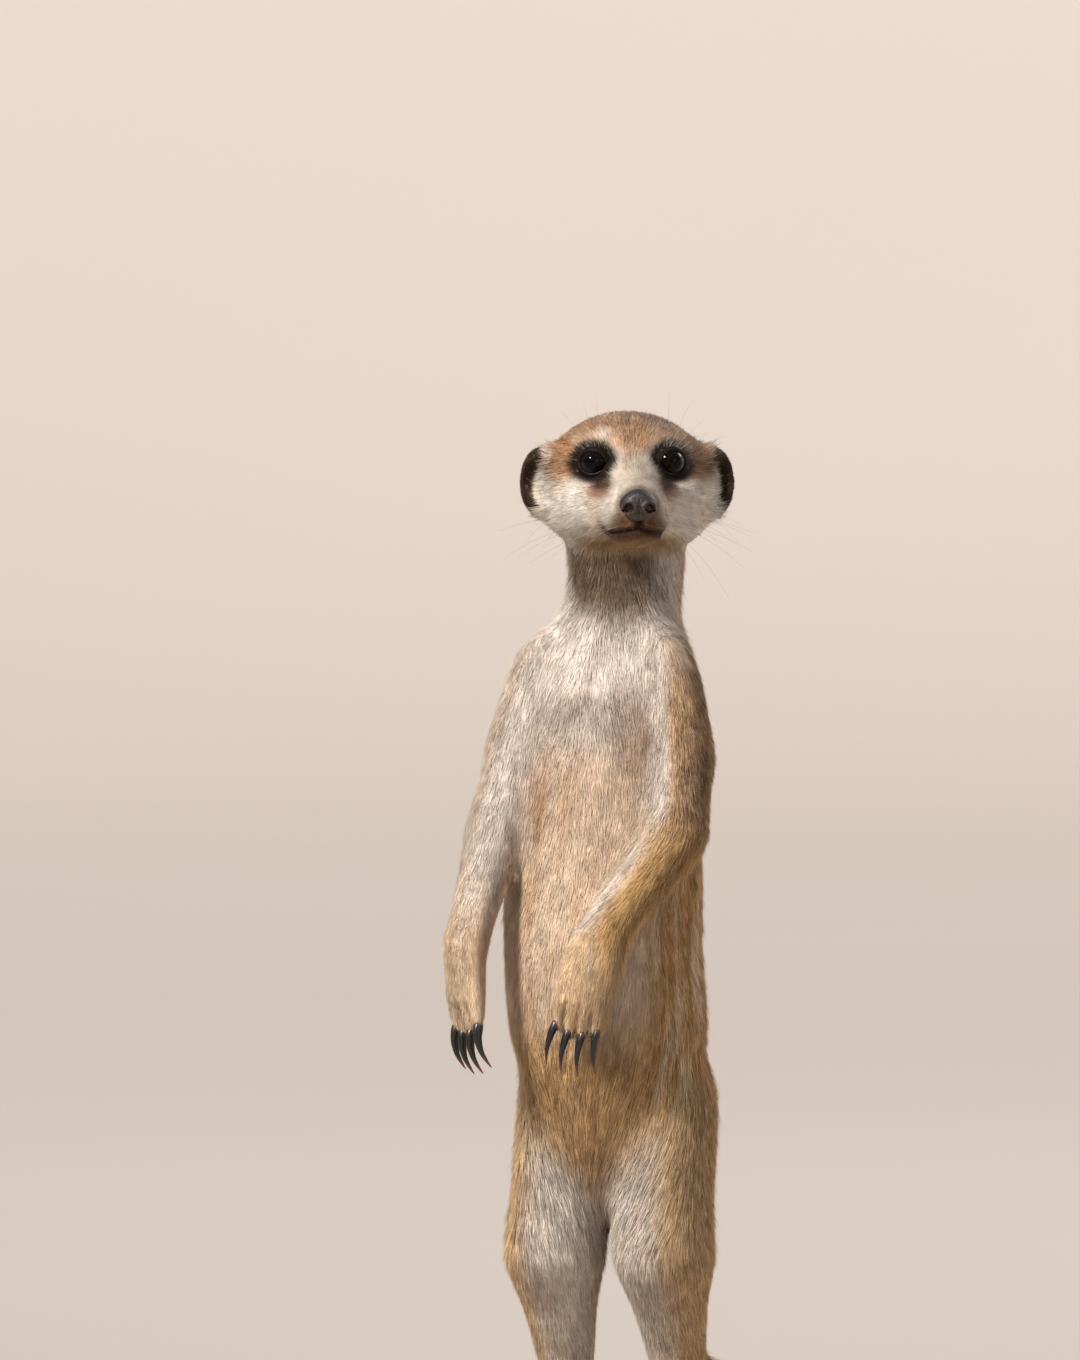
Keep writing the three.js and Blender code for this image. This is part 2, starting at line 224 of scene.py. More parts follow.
# Soft forms of both sides alike: the top of the haunch, the slope of the shoulder, the flank and the neck.
# Middle, half sizes and height in millimetres.
BODY_SWELLINGS = [((25, 4, 119), (13, 19, 13), 2.4), ((19, -1, 237.5), (8, 13, 6.5), 4.8),
                  ((16, -7, 245.5), (8, 12, 6), 2.2),
                  ((27, -4, 168), (9, 12, 17), 3.4), ((14, 5, 257), (8, 12, 9), -1.0)]

TRUNK_MIDDLE = box_middle("trunk_upper")
set_coordinates(skin.data, points)
body = (points - (TRUNK_MIDDLE[0], TRUNK_MIDDLE[1], 0)) / MM
# The rib cage, the hollows beside it under each arm and below the collar, and the middle of the belly.
FRONT_SWELLINGS = [((-1, -27, 197), (13, 12, 15), 1.3), ((18, -22, 206), (5, 9, 14), -1.5),
                   ((-17, -21, 203), (4.5, 9, 15), -1.3), ((-3, -24, 220), (10, 9, 3.5), -0.9),
                   ((-10, -2, 243), (4, 8, 7), -0.8), ((0, -28, 160), (12, 12, 18), 0.8),
                   ((-28, -3, 147), (9, 15, 20), 3.0), ((15, -37, 143), (5, 5, 12), 4.2),
                   ((-2, -38, 142), (4, 5, 11), 2.4)]
one_side = np.column_stack([np.abs(body[:, 0]), body[:, 1:]])
lift = np.zeros(len(body))
for swollen, forms in ((one_side, BODY_SWELLINGS), (body, FRONT_SWELLINGS)):
    for middle, halves, height in forms:
        lift += height * np.exp(-((((swollen - middle) / halves) ** 2).sum(axis=1)))
points = points + MM * lift[:, None] * normals(skin.data)

# Creases between the parts are filled, because flesh and loose skin bridge them.
turns = np.array([part_value(HOLLOW_FILLING, name) for name in FLESH], dtype=float)[skin_part]
turns = spread(turns[:, None], pairs, 10)[:, 0]
for turn in range(int(turns.max()) + 1):
    set_coordinates(skin.data, points)
    moved = spread(points, pairs, 1, 0.6 * np.clip(turns - turn, 0, 1))
    outward = ((moved - points) * normals(skin.data)).sum(axis=1)
    points = np.where(outward[:, None] > 0, moved, points)
set_coordinates(skin.data, points)
depth = np.array([part_value(COAT_DEPTH, name) for name in FLESH])[skin_part]
depth = spread(depth[:, None], pairs, 30)
set_coordinates(skin.data, points - MM * depth * normals(skin.data))


# Half the width and the depth of the gaps between fingers and toes, in millimetres.
FINGER_GAP = 0.75
FINGER_GAP_DEPTH = 1.15


def between_fingers(points):
    """1 along the middle of each gap between two fingers or toes, 0 on them."""
    gaps = np.zeros(len(points))
    for (limb, side), roots in claw_roots.items():
        roots = np.array(roots)
        palm = box_middle(f"{limb}_{side}") / MM
        across_it = np.linalg.svd(roots - roots.mean(axis=0), full_matrices=False)[2][0]
        onward = roots.mean(axis=0) - palm
        onward -= across_it * (onward @ across_it)
        onward /= np.linalg.norm(onward)
        rows = np.sort((roots - palm) @ across_it)
        away = points / MM - palm
        sideways, ahead = away @ across_it, away @ onward - ((roots - palm) @ onward).mean()
        here = fade(ahead, -9.5, -3.5) * fade(np.linalg.norm(away, axis=1), 26, 22)
        for first, second in zip(rows[:-1], rows[1:]):
            gaps += here * np.exp(-(((sideways - (first + second) / 2) / FINGER_GAP) ** 2))
    return np.clip(gaps, 0, 1)


# The head is worked finer, in a frame of its own: forward along the muzzle, left and up, from between the eyes.
EYE = {side: Vector(box_middle(f"eye_{side}")) for side in SIDES}
BETWEEN_EYES = np.array((EYE["left"] + EYE["right"]) / 2)
LEFTWARD = np.array((EYE["left"] - EYE["right"]).normalized())
UPWARD = np.array([0.0, 0.0, 1.0])
FORWARD = np.cross(LEFTWARD, UPWARD)
HEAD_AXES = np.stack([FORWARD, LEFTWARD, UPWARD])
EYE_SPACING = (EYE["left"] - EYE["right"]).length / 2 / MM
NOSE_PLACE = (box_middle("nose") - BETWEEN_EYES) @ HEAD_AXES.T / MM
NOSE_PLACE -= (0.0, 0.0, 0.9)

EYEBALL = 5.0
EYE_DEPTH = 0.35
LID_THICKNESS = 0.5
# Half the width and height of the open eye, and how far its inner corner is drawn towards the nose.
EYE_OPENING = {"wide": 4.0, "up": 3.55, "down": 3.75, "inner_corner": 0.55, "outer_corner": 0.25}
# The line of the mouth on the animal's left: forward, left and up of the middle between the eyes.
MOUTH = [(24.0, 0, -17.5), (23.4, 0.3, -20.5), (22.3, 3.2, -21.2), (20.2, 6.2, -21.9), (16.8, 9.4, -22.6),
         (12.4, 12.2, -23.4), (8.5, 14.5, -22.8)]
# Soft forms under the skin: forward, left, up, radius and height in millimetres, on both sides alike.
SWELLINGS = [
    (18.5, 5.0, -14.5, 5.0, 1.0),
    (21.5, 0.0, -24.0, 5.5, 0.9),
    (12.0, 0.0, -26.0, 8.0, 1.3),
    (4.0, 7.0, 6.6, 4.5, 0.45),
    (12.0, 7.5, -20.5, 6.5, 1.9),
    (1.5, 16.5, -9.0, 6.5, 0.5),
    (12.5, 3.6, -7.0, 3.6, -0.45),
    (3.0, 16.6, 5.0, 3.2, -0.35),
    (8.5, 9.0, -7.8, 2.6, -0.4),
]


def in_head(points):
    """Forward, left and up of the middle between the eyes, in millimetres."""
    return (np.asarray(points) - BETWEEN_EYES) @ HEAD_AXES.T / MM


def out_of_head(places):
    return np.asarray(places) * MM @ HEAD_AXES + BETWEEN_EYES


def unit(vectors):
    vectors = np.asarray(vectors, dtype=float)
    return vectors / np.maximum(np.linalg.norm(vectors, axis=-1, keepdims=True), 1e-12)


def gaze(side):
    """The way an eye looks, and what is outward and upward across it."""
    ahead = unit([1.0, 0.42 * SIDES[side], 0.06])
    outward = unit(np.array([0, SIDES[side], 0]) - ahead[1] * SIDES[side] * ahead)
    return ahead, outward, np.cross(ahead, outward) * SIDES[side]


def eyeball_centre(side):
    return np.array([0, SIDES[side] * EYE_SPACING, 0]) - EYE_DEPTH * gaze(side)[0]


def lid_edge(around):
    """How far the lid's edge is from the middle of the open eye, by the angle from outward round to up."""
    high = np.where(np.sin(around) > 0, EYE_OPENING["up"], EYE_OPENING["down"])
    reach = 1 / np.hypot(np.cos(around) / EYE_OPENING["wide"], np.sin(around) / high)
    inner = np.exp(-((np.abs(np.angle(np.exp(1j * (around - math.radians(196))))) / math.radians(24)) ** 2))
    outer = np.exp(-((np.abs(np.angle(np.exp(1j * (around - math.radians(8))))) / math.radians(22)) ** 2))
    return reach + EYE_OPENING["inner_corner"] * inner + EYE_OPENING["outer_corner"] * outer


def round_the_eye(places, side):
    """Distance from the eyeball's middle, distance along the ball past the lid's edge, height and facing."""
    ahead, outward, upward = gaze(side)
    away = places - eyeball_centre(side)
    reach = np.linalg.norm(away, axis=1)
    across, rise, front = away @ outward / reach, away @ upward / reach, away @ ahead / reach
    edge = np.arcsin(np.clip(lid_edge(np.arctan2(rise, across)) / EYEBALL, 0, 0.97))
    return reach, (np.arccos(np.clip(front, -1, 1)) - edge) * EYEBALL, rise, front


def finer(chosen):
    """Cuts the skin's faces once more where all their points are chosen."""
    skin.data.polygons.foreach_set("select", np.zeros(len(skin.data.polygons), dtype=bool))
    skin.data.edges.foreach_set("select", np.zeros(len(skin.data.edges), dtype=bool))
    skin.data.vertices.foreach_set("select", chosen)
    bpy.ops.object.mode_set(mode="EDIT")
    bpy.ops.mesh.select_mode(type="VERT")
    bpy.ops.mesh.subdivide(number_cuts=1, smoothness=0.0)
    bpy.ops.object.mode_set(mode="OBJECT")


def line_distance(places, line):
    """The distance of each place from a line through some points."""
    line = np.asarray(line, dtype=float)
    nearest = np.full(len(places), 1e9)
    for start, end in zip(line[:-1], line[1:]):
        along = np.clip((places - start) @ (end - start) / ((end - start) @ (end - start)), 0, 1)
        nearest = np.minimum(nearest, np.linalg.norm(places - start - along[:, None] * (end - start), axis=1))
    return nearest


limb_end = np.isin(parts_at(coordinates(skin.data)),
                   [i for i, name in enumerate(FLESH) if name.startswith(("hand", "foot"))])
finer(limb_end)
sunk = coordinates(skin.data)
set_coordinates(skin.data, sunk - FINGER_GAP_DEPTH * MM * between_fingers(sunk)[:, None] * normals(skin.data))
place = in_head(coordinates(skin.data))
finer((place[:, 0] > -14) & (place[:, 2] > -32) & (place[:, 2] < 14))
place = in_head(coordinates(skin.data))
near_eye = np.minimum(*(np.linalg.norm(place - eyeball_centre(side), axis=1) for side in SIDES)) < 9.5
finer(near_eye | ((place[:, 0] > 10) & (place[:, 2] < -5) & (place[:, 2] > -30)))

points = coordinates(skin.data)
place = in_head(points)
outward = normals(skin.data)
lift = np.zeros(len(points))
for forward, left, up, radius, height in SWELLINGS:
    for mirror in {1.0, -1.0} if left else {1.0}:
        lift += height * np.exp(-(((place - (forward, mirror * left, up)) ** 2).sum(axis=1)) / radius**2)
points += MM * lift[:, None] * outward
set_coordinates(skin.data, points)

# The mouth is a soft groove between two lips, up to the nose in the middle. For each: how deep or high it is, how
# far its middle lies from the line of the mouth, and half its width, in millimetres.
MOUTH_GROOVE = (0.75, 0.0, 0.55)
LIP = (0.28, 1.5, 0.8)


def ridge(distance, height, middle, half):
    return height * np.exp(-(((distance - middle) / half) ** 2))


outward = normals(skin.data)
place = in_head(points)
skin_tree = BVHTree.FromPolygons(points.tolist(), [p.vertices[:] for p in skin.data.polygons])
mouth_line = [in_head([skin_tree.find_nearest(out_of_head([p])[0])[0]])[0] for p in MOUTH]
mirrored = [p * (1, -1, 1) for p in mouth_line]
from_mouth = np.minimum(line_distance(place, mouth_line), line_distance(place, mirrored))
groove = ridge(from_mouth, *LIP) - ridge(from_mouth, *MOUTH_GROOVE)
points += MM * groove[:, None] * outward
set_coordinates(skin.data, points)

# The lids lie on the eyeball, and the skin within their edge is sunk behind it. A fold runs over and under them:
# its depth, how far its middle lies from the lid's edge, and half its width, in millimetres.
UPPER_FOLD = (0.22, 1.9, 0.4)
LOWER_FOLD = (0.16, 1.7, 0.35)
SUNK_BEHIND = 1.0
place = in_head(points)
for side in SIDES:
    reach, past, rise, front = round_the_eye(place, side)
    lid = EYEBALL + LID_THICKNESS - 0.03 * np.clip(past, 0, None) ** 2
    shaped = lid + np.maximum(reach - lid, 0) * fade(past, 0.3, 5.0)
    shaped -= ridge(past, *UPPER_FOLD) * fade(rise, 0.0, 0.3)
    shaped -= ridge(past, *LOWER_FOLD) * fade(rise, 0.0, -0.3)
    shaped = EYEBALL - SUNK_BEHIND + (shaped - EYEBALL + SUNK_BEHIND) * fade(past, -0.5, 0.0)
    worked = fade(reach, 10.5, 8.5) * fade(front, -0.45, -0.2)
    ratio = 1 + worked * (shaped / reach - 1)
    place = eyeball_centre(side) + (place - eyeball_centre(side)) * ratio[:, None]
points = out_of_head(place)
set_coordinates(skin.data, points)
skin.data.polygons.foreach_set("use_smooth", np.ones(len(skin.data.polygons), dtype=bool))


def finish_piece(piece, slot, *replaced):
    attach(piece, "root")
    if replaced:
        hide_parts(*replaced)


finish_piece(skin, "coat_pale", *FLESH)

# The markings, in linear colour. They are laid on the skin by soft shapes in the frames of head and body.
WHITE = (0.75, 0.675, 0.60)
CREAM = (0.68, 0.55, 0.41)
GREY_WHITE = (0.60, 0.525, 0.465)
PINK_GREY = (0.60, 0.46, 0.345)
SHADE_GREY = (0.24, 0.18, 0.145)
GOLD = (0.56, 0.335, 0.125)
TAN = (0.44, 0.255, 0.14)
BROWN = (0.17, 0.088, 0.042)
DARK_BROWN = (0.038, 0.018, 0.010)
ORANGE = (0.50, 0.215, 0.065)
RUSSET = (0.25, 0.09, 0.045)
CHIN = (0.37, 0.225, 0.10)
# Brownish hair darkened into a painted shadow of the chin.
THROAT_SHADOW_BROWN = (0.098, 0.059, 0.031)
EAR_BROWN = (0.032, 0.016, 0.010)
PATCH_BLACK = (0.010, 0.006, 0.005)
BRIGHTEST = 0.86


def laid(colours, paint, amount):
    return colours + (np.asarray(paint) - colours) * np.clip(amount, 0, 1)[:, None]


def patch(places, middle, radii, soft=0.3):
    """1 within an ellipsoid, 0 outside it, with a soft edge."""
    return fade(np.linalg.norm((places - middle) / radii, axis=1), 1 + soft, 1 - soft)


def ripple(places, size, seed):
    """Smooth unevenness from -1 to 1, with forms about as large as size."""
    chance = np.random.default_rng(seed)
    ways = unit(chance.normal(size=(9, 3))) * chance.uniform(0.7, 1.5, (9, 1)) * math.pi / np.asarray(size)
    return np.clip(np.sin(places @ ways.T + chance.uniform(0, 6.3, 9)).sum(axis=1) / 3.6, -1, 1)


points = coordinates(skin.data)
facing = normals(skin.data)
skin_part = parts_at(points)
pairs = edges(skin.data)
place = in_head(points)
body = (points - (TRUNK_MIDDLE[0], TRUNK_MIDDLE[1], 0)) / MM


def share(*starts, rounds=14):
    """How much each point belongs to the parts whose names start so, with soft borders."""
    chosen = np.array([name.startswith(tuple(starts)) for name in FLESH], dtype=float)[skin_part]
    return spread(chosen[:, None], pairs, rounds)[:, 0]


of_head, of_ear, of_neck = share("head", "ear", rounds=20), share("ear", rounds=6), share("neck", rounds=40)
of_arm, of_hand = share("upper_arm", "forearm", "hand", rounds=60), share("hand")
of_forearm, of_leg = share("forearm", "hand", rounds=36), share("thigh", "shank", "foot", rounds=60)
of_foot = share("foot")
of_tail = share("tail", rounds=40)
round_body = np.abs(np.degrees(np.arctan2(body[:, 0], -body[:, 1])))
side_of = np.sign(body[:, 0])
height = body[:, 2]
mottle = ripple(body, (9, 9, 14), 3)
small_mottle = ripple(body, (3.5, 3.5, 6), 4)
streaks = ripple(body, (2.6, 2.6, 22), 5)

# The trunk is pinkish cream in front, pale grey-white on the chest, and golden to tan behind.
colour = np.tile(np.array(PINK_GREY), (len(points), 1))
colour = laid(colour, CREAM, 0.75 * fade(mottle, -0.2, 0.7) * fade(height, 200, 150))
colour = laid(colour, GREY_WHITE, fade(height, 198, 216) + 0.5 * of_neck)
colour = laid(colour, WHITE, 0.45 * fade(ripple(body, (11, 11, 9), 8), 0.0, 0.7) * fade(height, 204, 224))
chest_shade = fade(height, 192, 206) * fade(height, 236, 226)
colour = laid(colour, SHADE_GREY, (0.12 + 0.36 * fade(ripple(body, (4, 4, 11), 34), -0.2, 0.8)) * chest_shade)
colour = laid(colour, SHADE_GREY, 0.45 * fade(small_mottle + mottle, 0.2, 1.1) * fade(height, 150, 215))
colour = laid(colour, TAN, 0.4 * fade(ripple(body, (6, 6, 20), 33), 0.0, 0.7) * fade(height, 212, 186))
low_belly = fade(height, 131, 106) * fade(height, 50, 66) * fade(round_body, 84, 58)
strands = ripple(body, (1.5, 1.5, 13), 7)
colour = laid(colour, GOLD, 0.85 * low_belly)
colour = laid(colour, BROWN, 0.75 * low_belly * fade(strands + 0.3 * mottle, -0.2, 0.6))
colour = laid(colour, BROWN, 0.6 * low_belly * fade(height, 90, 66))
under_elbow = fade(height, 192, 178)
flank = np.where(body[:, 0] > 0, fade(round_body + 17 * under_elbow, 58, 80), fade(round_body, 70, 104))
colour = laid(colour, GOLD, 0.9 * flank * fade(height, 262, 236))
colour = laid(colour, TAN, fade(round_body, 84, 112))
brown_streaks = (0.6 - 0.45 * fade(round_body, 100, 125)) * (1 - 0.25 * fade(height, 160, 120))
colour = laid(colour, BROWN, brown_streaks * flank * fade(streaks, 0.0, 0.7))
colour = laid(colour, ORANGE, 0.45 * flank * fade(ripple(body, (3, 3, 26), 6), 0.1, 0.7) * fade(height, 200, 160))
colour = laid(colour, CREAM, 0.7 * flank * fade(-streaks, 0.1, 0.8) * fade(height, 190, 150)
              * fade(round_body, 125, 100))

# The bands of the back run across it, one every 17 millimetres.
BAND_PERIOD = 17
behind = fade(round_body, 106, 132)
band = np.sin((height + 2.2 * ripple(body, 22, 11)) * 2 * math.pi / BAND_PERIOD + 0.6 * ripple(body, 30, 12))
bands = fade(band, -0.15, 0.35) * behind * fade(height, 205, 165) * fade(height, 62, 76)
colour = laid(colour, BROWN, 0.22 * behind * fade(mottle + small_mottle, 0.1, 1.2))
colour = laid(colour, DARK_BROWN, 0.88 * bands * (1 - of_tail) * (0.85 + 0.15 * small_mottle))

# Neck: tan behind, pale at the sides, brownish under the chin, where a painted shadow of the chin darkens the throat
# and reaches lower on the animal's left.
neck_z = body[:, 2] - (BETWEEN_EYES[2] / MM - 27)
round_neck = np.abs(np.degrees(np.arctan2(body[:, 0], -(body[:, 1] - 9))))
colour = laid(colour, GREY_WHITE, of_neck)
colour = laid(colour, WHITE, 0.8 * of_neck * fade(ripple(body, (7, 7, 20), 9), -0.4, 0.4))
neck_side = fade(round_neck + 16 * fade(neck_z, -12, -26), 88, 124)
colour = laid(colour, TAN, of_neck * neck_side)
colour = laid(colour, BROWN, 0.35 * of_neck * neck_side * fade(streaks, 0.0, 0.7))
# Painted shadow of the chin: the dark band under it reaches 4 mm lower on the animal's left.
chin_shadow_z = neck_z + 4 * fade(body[:, 0], -4, 8)
throat = np.clip(1.6 * of_neck, 0, 1) * fade(round_neck, 84, 44) * fade(chin_shadow_z, -27, -12)
colour = laid(colour, THROAT_SHADOW_BROWN, 0.95 * throat)
# Three white folds run down onto the chest: left and up in millimetres.
for line in ([(-13, 252), (-8, 238), (-4, 224)], [(17, 243), (10, 231), (3, 222)],
             [(-17, 246), (-16, 234), (-14, 222)]):
    stroke = line_distance(body[:, [0, 2]], line)
    colour = laid(colour, WHITE, 0.85 * fade(stroke, 4.2, 1.2) * fade(round_body, 110, 80))

# Legs: grey cream in front, white on the inner edge, golden with brown strands outside and behind.
inward = -facing[:, 0] * side_of
leg = of_leg * fade(height, 112, 84)
colour = laid(colour, GREY_WHITE, 0.85 * leg * fade(facing[:, 1], 0.25, -0.35))
colour = laid(colour, WHITE, 0.9 * leg * fade(inward, 0.0, 0.6) * fade(facing[:, 1], 0.6, 0.0))
colour = laid(colour, SHADE_GREY, 0.35 * leg * fade(mottle, 0.1, 0.8) * fade(facing[:, 1], 0.2, -0.4))
outer_leg = of_leg * fade(inward, -0.1, -0.7)
colour = laid(colour, GOLD, 0.7 * outer_leg)
colour = laid(colour, BROWN, 0.28 * outer_leg * fade(streaks, 0.0, 0.6) * fade(height, 25, 60))
colour = laid(colour, TAN, 0.7 * of_leg * fade(facing[:, 1], 0.1, 0.7))
colour = laid(colour, CREAM, 0.8 * of_foot)

# Arms: grey-white towards the body, grizzled and barred with brown outside, golden down the forearm to the hand.
ARM_BAR_PERIOD, FOREARM_BAR_PERIOD = 6.4, 2.7
lower_arm = np.where(body[:, 0] > 0, fade(height, 243, 212), 0.4)
arm_out = fade(facing[:, 0] * side_of + 0.45 * facing[:, 1] + 0.45 * lower_arm, -0.2, 0.45)
arm_out *= 1 - 0.85 * (1 - lower_arm) * fade(facing[:, 1], 0.5, -0.3)
arm_gold = np.where(body[:, 0] > 0, 1.0, 0.32)
left_forearm = of_forearm * (body[:, 0] > -8)
colour = laid(colour, GREY_WHITE, of_arm)
colour = laid(colour, GOLD, of_arm * arm_out * arm_gold)
colour = laid(colour, GOLD, 0.8 * left_forearm * fade(facing[:, 2], 0.75, 0.2))
upper = (of_arm - of_forearm).clip(0, 1)
colour = laid(colour, TAN, 0.65 * upper * arm_out * arm_gold)
colour = laid(colour, SHADE_GREY, 0.42 * upper * arm_out * fade(mottle, -0.8, 0.5))
cross_band = fade(np.sin((height - 0.6 * body[:, 1] + 1.6 * mottle) * 2 * math.pi / ARM_BAR_PERIOD), -0.1, 0.4)
barred = fade(small_mottle + 0.5 * mottle, -0.9, 0.2) * (0.15 + 0.85 * cross_band)
colour = laid(colour, BROWN, (0.95 * upper + 0.3 * of_forearm) * arm_out * arm_gold * barred)
colour = laid(colour, DARK_BROWN, 0.4 * upper * arm_out * arm_gold * barred)
fine_band = fade(np.sin((height + 0.5 * body[:, 0] + 1.3 * small_mottle) * 2 * math.pi / FOREARM_BAR_PERIOD),
                 -0.2, 0.7)
colour = laid(colour, BROWN, 0.55 * left_forearm * fine_band * (1 - 0.8 * of_hand) * fade(mottle, -0.8, 0.1))
colour = laid(colour, WHITE, 0.7 * left_forearm * fade(facing[:, 2] - 0.5 * facing[:, 0], 0.75, 1.05) * (1 - of_hand))
right_forearm = of_forearm * (body[:, 0] < -8)
colour = laid(colour, SHADE_GREY, 0.4 * right_forearm * fade(small_mottle + 0.6 * fine_band, 0.0, 1.2))
colour = laid(colour, GOLD, 0.5 * right_forearm * fade(height, 174, 140))
colour = laid(colour, SHADE_GREY, 0.45 * of_arm * (1 - arm_out) * fade(streaks, -0.2, 0.7))
colour = laid(colour, CREAM, np.where(body[:, 0] > -8, 0.35, 0.15) * of_hand)

# Painted shade, greyer and browner, where the chest, the ribs and the belly sink in and below the animal's left hand;
# the tan entries are golden patches of the coat: left, up, half width and height.
for left, up, wide, high, paint, strength in (
        (-10.5, 243, 3.2, 6, SHADE_GREY, 0.6), (-21, 233, 5, 6, SHADE_GREY, 0.6), (-3, 218.5, 8, 3.4, BROWN, 0.45),
        (18.5, 206, 5, 12, BROWN, 0.75), (9, 217, 7, 4, BROWN, 0.3), (-17, 205, 3, 12, SHADE_GREY, 0.4),
        (-16, 187, 4.5, 8, TAN, 0.75), (13, 111, 7, 9, BROWN, 0.6), (-15, 184, 2.4, 9, BROWN, 0.5),
        (14, 186, 7, 8, SHADE_GREY, 0.42), (12, 172, 6, 8, SHADE_GREY, 0.36), (-20, 168, 4, 12, TAN, 0.4),
        (-22, 140, 4, 14, TAN, 0.5)):
    sunk_shade_and_patch = np.exp(-(((body[:, 0] - left) / wide) ** 2) - ((body[:, 2] - up) / high) ** 2)
    colour = laid(colour, paint, strength * sunk_shade_and_patch * fade(round_body, 95, 65) * (0.8 + 0.3 * small_mottle))

# Painted shade in the gaps between the fingers and toes.
colour = laid(colour, BROWN, 0.45 * between_fingers(points))

# Tail: tan, paler below, with a dark tip.
tail_lengths = [np.array(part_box(name)) for name in ("tail_base", "tail_tip")]
tail_run = np.linalg.norm(points - tail_lengths[0].mean(axis=0), axis=1) / MM
tail_full = tail_run[skin_part == FLESH.index("tail_tip")].max()
colour = laid(colour, TAN, of_tail)
colour = laid(colour, CREAM, 0.35 * of_tail * fade(facing[:, 2], 0.2, -0.7))
colour = laid(colour, BROWN, 0.35 * of_tail * fade(mottle, 0, 0.8))
colour = laid(colour, DARK_BROWN, of_tail * fade(tail_run / tail_full, 0.68, 0.82))

# Head: white cheeks and muzzle, a tan forehead that runs down to a point between the eyes, and a grizzled crown.
forward, up = place[:, 0], place[:, 2]
beside = np.abs(place[:, 1])
head = np.tile(np.array(WHITE), (len(points), 1))
head = laid(head, CREAM, 0.4 * fade(ripple(place, 5, 21), 0.0, 0.8))
head = laid(head, PINK_GREY, 0.5 * patch(place, (14, 0, -3), (16, 7, 9), 0.6))
# Painted shade on the bridge of the muzzle, and painted light on the lower face, which the high key light leaves in
# shade.
head *= 1 - 0.2 * patch(place, (14, 0, -3), (16, 7, 9), 0.6)[:, None]
head = np.minimum(BRIGHTEST, head * (1 + 0.16 * fade(up, -4, -12))[:, None])
brow_line = 0.2 + 4.0 * fade(beside, 1.0, 8.0) - 2.2 * fade(beside, 13, 19) - 1.3 * fade(place[:, 1], 4, 10)
top = fade(up - brow_line, -1.5, 5.0)
head = laid(head, TAN, top)
head = laid(head, ORANGE, 0.5 * top * fade(up, 15, 5) * fade(ripple(place, (5, 1.4, 5), 22), -0.3, 0.6))
head = laid(head, BROWN, 0.8 * fade(up, 6, 13) * fade(ripple(place, (4, 1.8, 4), 23), -0.9, 0.4))
head = laid(head, SHADE_GREY, 0.3 * fade(up, 8, 14))
nape = fade(forward, -15, -25) * fade(up, -24, -14)
head = laid(head, TAN, nape)
head = laid(head, BROWN, 0.4 * nape * fade(small_mottle, -0.3, 0.7))
# Painted shade on the animal's left: its brow is less white and the brown from eye to ear darker; the other marks are
# alike on both sides.
for side, sign in SIDES.items():
    own = fade(place[:, 1] * sign, -1.0, 1.0)
    around = place * (1, sign, 1)
    head = laid(head, WHITE, (0.4 - 0.2 * sign) * own * patch(around, (4, 8.6, 8.4), (9, 4.0, 2.4), 0.5))
    head = laid(head, ORANGE, 0.8 * own * patch(around, (-4, 19.2, 0.6), (9, 3.7, 6.2), 0.5))
    head = laid(head, BROWN, (0.62 + 0.22 * sign) * own * patch(around, (-6, 20.5, 0.2), (9, 3.8, 5.6), 0.6))
    head = laid(head, RUSSET, 0.8 * own * patch(around, (7, 9.8, -7.9), (9, 3.4, 3.3), 0.5))
    head = laid(head, DARK_BROWN, 0.95 * own * patch(around, (3, 12.4, 0.2), (12, 8.2, 6.9), 0.2))
    head = laid(head, DARK_BROWN, 0.9 * own * patch(around, (6, 9.2, -5.6), (9, 2.8, 3.2), 0.4))
    head = laid(head, PATCH_BLACK, own * patch(around, (3, 12.0, 0.0), (12, 6.8, 6.1), 0.18))
    head = laid(head, WHITE, own * of_head * patch(around, (-9, 24.6, 5.2), (6, 3.0, 3.2), 0.4))
lower = fade(up, -19.5, -23.5)
head = laid(head, CHIN, 0.95 * lower * fade(beside, 21, 10))
head = laid(head, BROWN, 0.35 * lower * fade(ripple(place, (3, 3, 5), 24), -0.2, 0.6) * fade(beside, 18, 8))
# Painted shadow of the chin over the brownish hair under it.
head = laid(head, THROAT_SHADOW_BROWN, 0.95 * fade(up, -25, -28) * fade(beside, 20, 9))
head = laid(head, CHIN, 0.8 * patch(place, (18, 0, -24.5), (9, 8, 2.6), 0.5))
pad = np.linalg.norm(place - NOSE_PLACE, axis=1)
# Painted shade on the animal's left side of the muzzle.
head = laid(head, SHADE_GREY, 0.42 * patch(place, (17, 8, -15), (8, 5.5, 7), 0.6))
head = laid(head, SHADE_GREY, 0.75 * fade(pad, 9.4, 6.2))
head = laid(head, DARK_BROWN, 0.5 * fade(pad, 7.2, 5.8))
from_mouth = np.minimum(line_distance(place, mouth_line), line_distance(place, mirrored))
head = laid(head, BROWN, 0.9 * patch(place, (21, 0, -18.8), (8, 10.5, 4.4), 0.55))
head = laid(head, DARK_BROWN, 0.45 * patch(place, (22, 0, -19.5), (7, 8.0, 3.4), 0.6))
head = laid(head, BROWN, 0.8 * fade(from_mouth, 4.8, 1.6))
head = laid(head, DARK_BROWN, 0.95 * fade(from_mouth, 2.1, 0.7))
ear = laid(np.tile(np.array(EAR_BROWN), (len(points), 1)), BROWN, 0.35 * fade(small_mottle, 0.2, 0.9))
head = laid(head, ear, of_ear * fade(beside, 22.6, 24.6))
bright = 1.3 * colour
bright *= np.minimum(1, BRIGHTEST / bright.max(axis=1))[:, None]
colour = laid(bright, 0.9 * head, of_head)

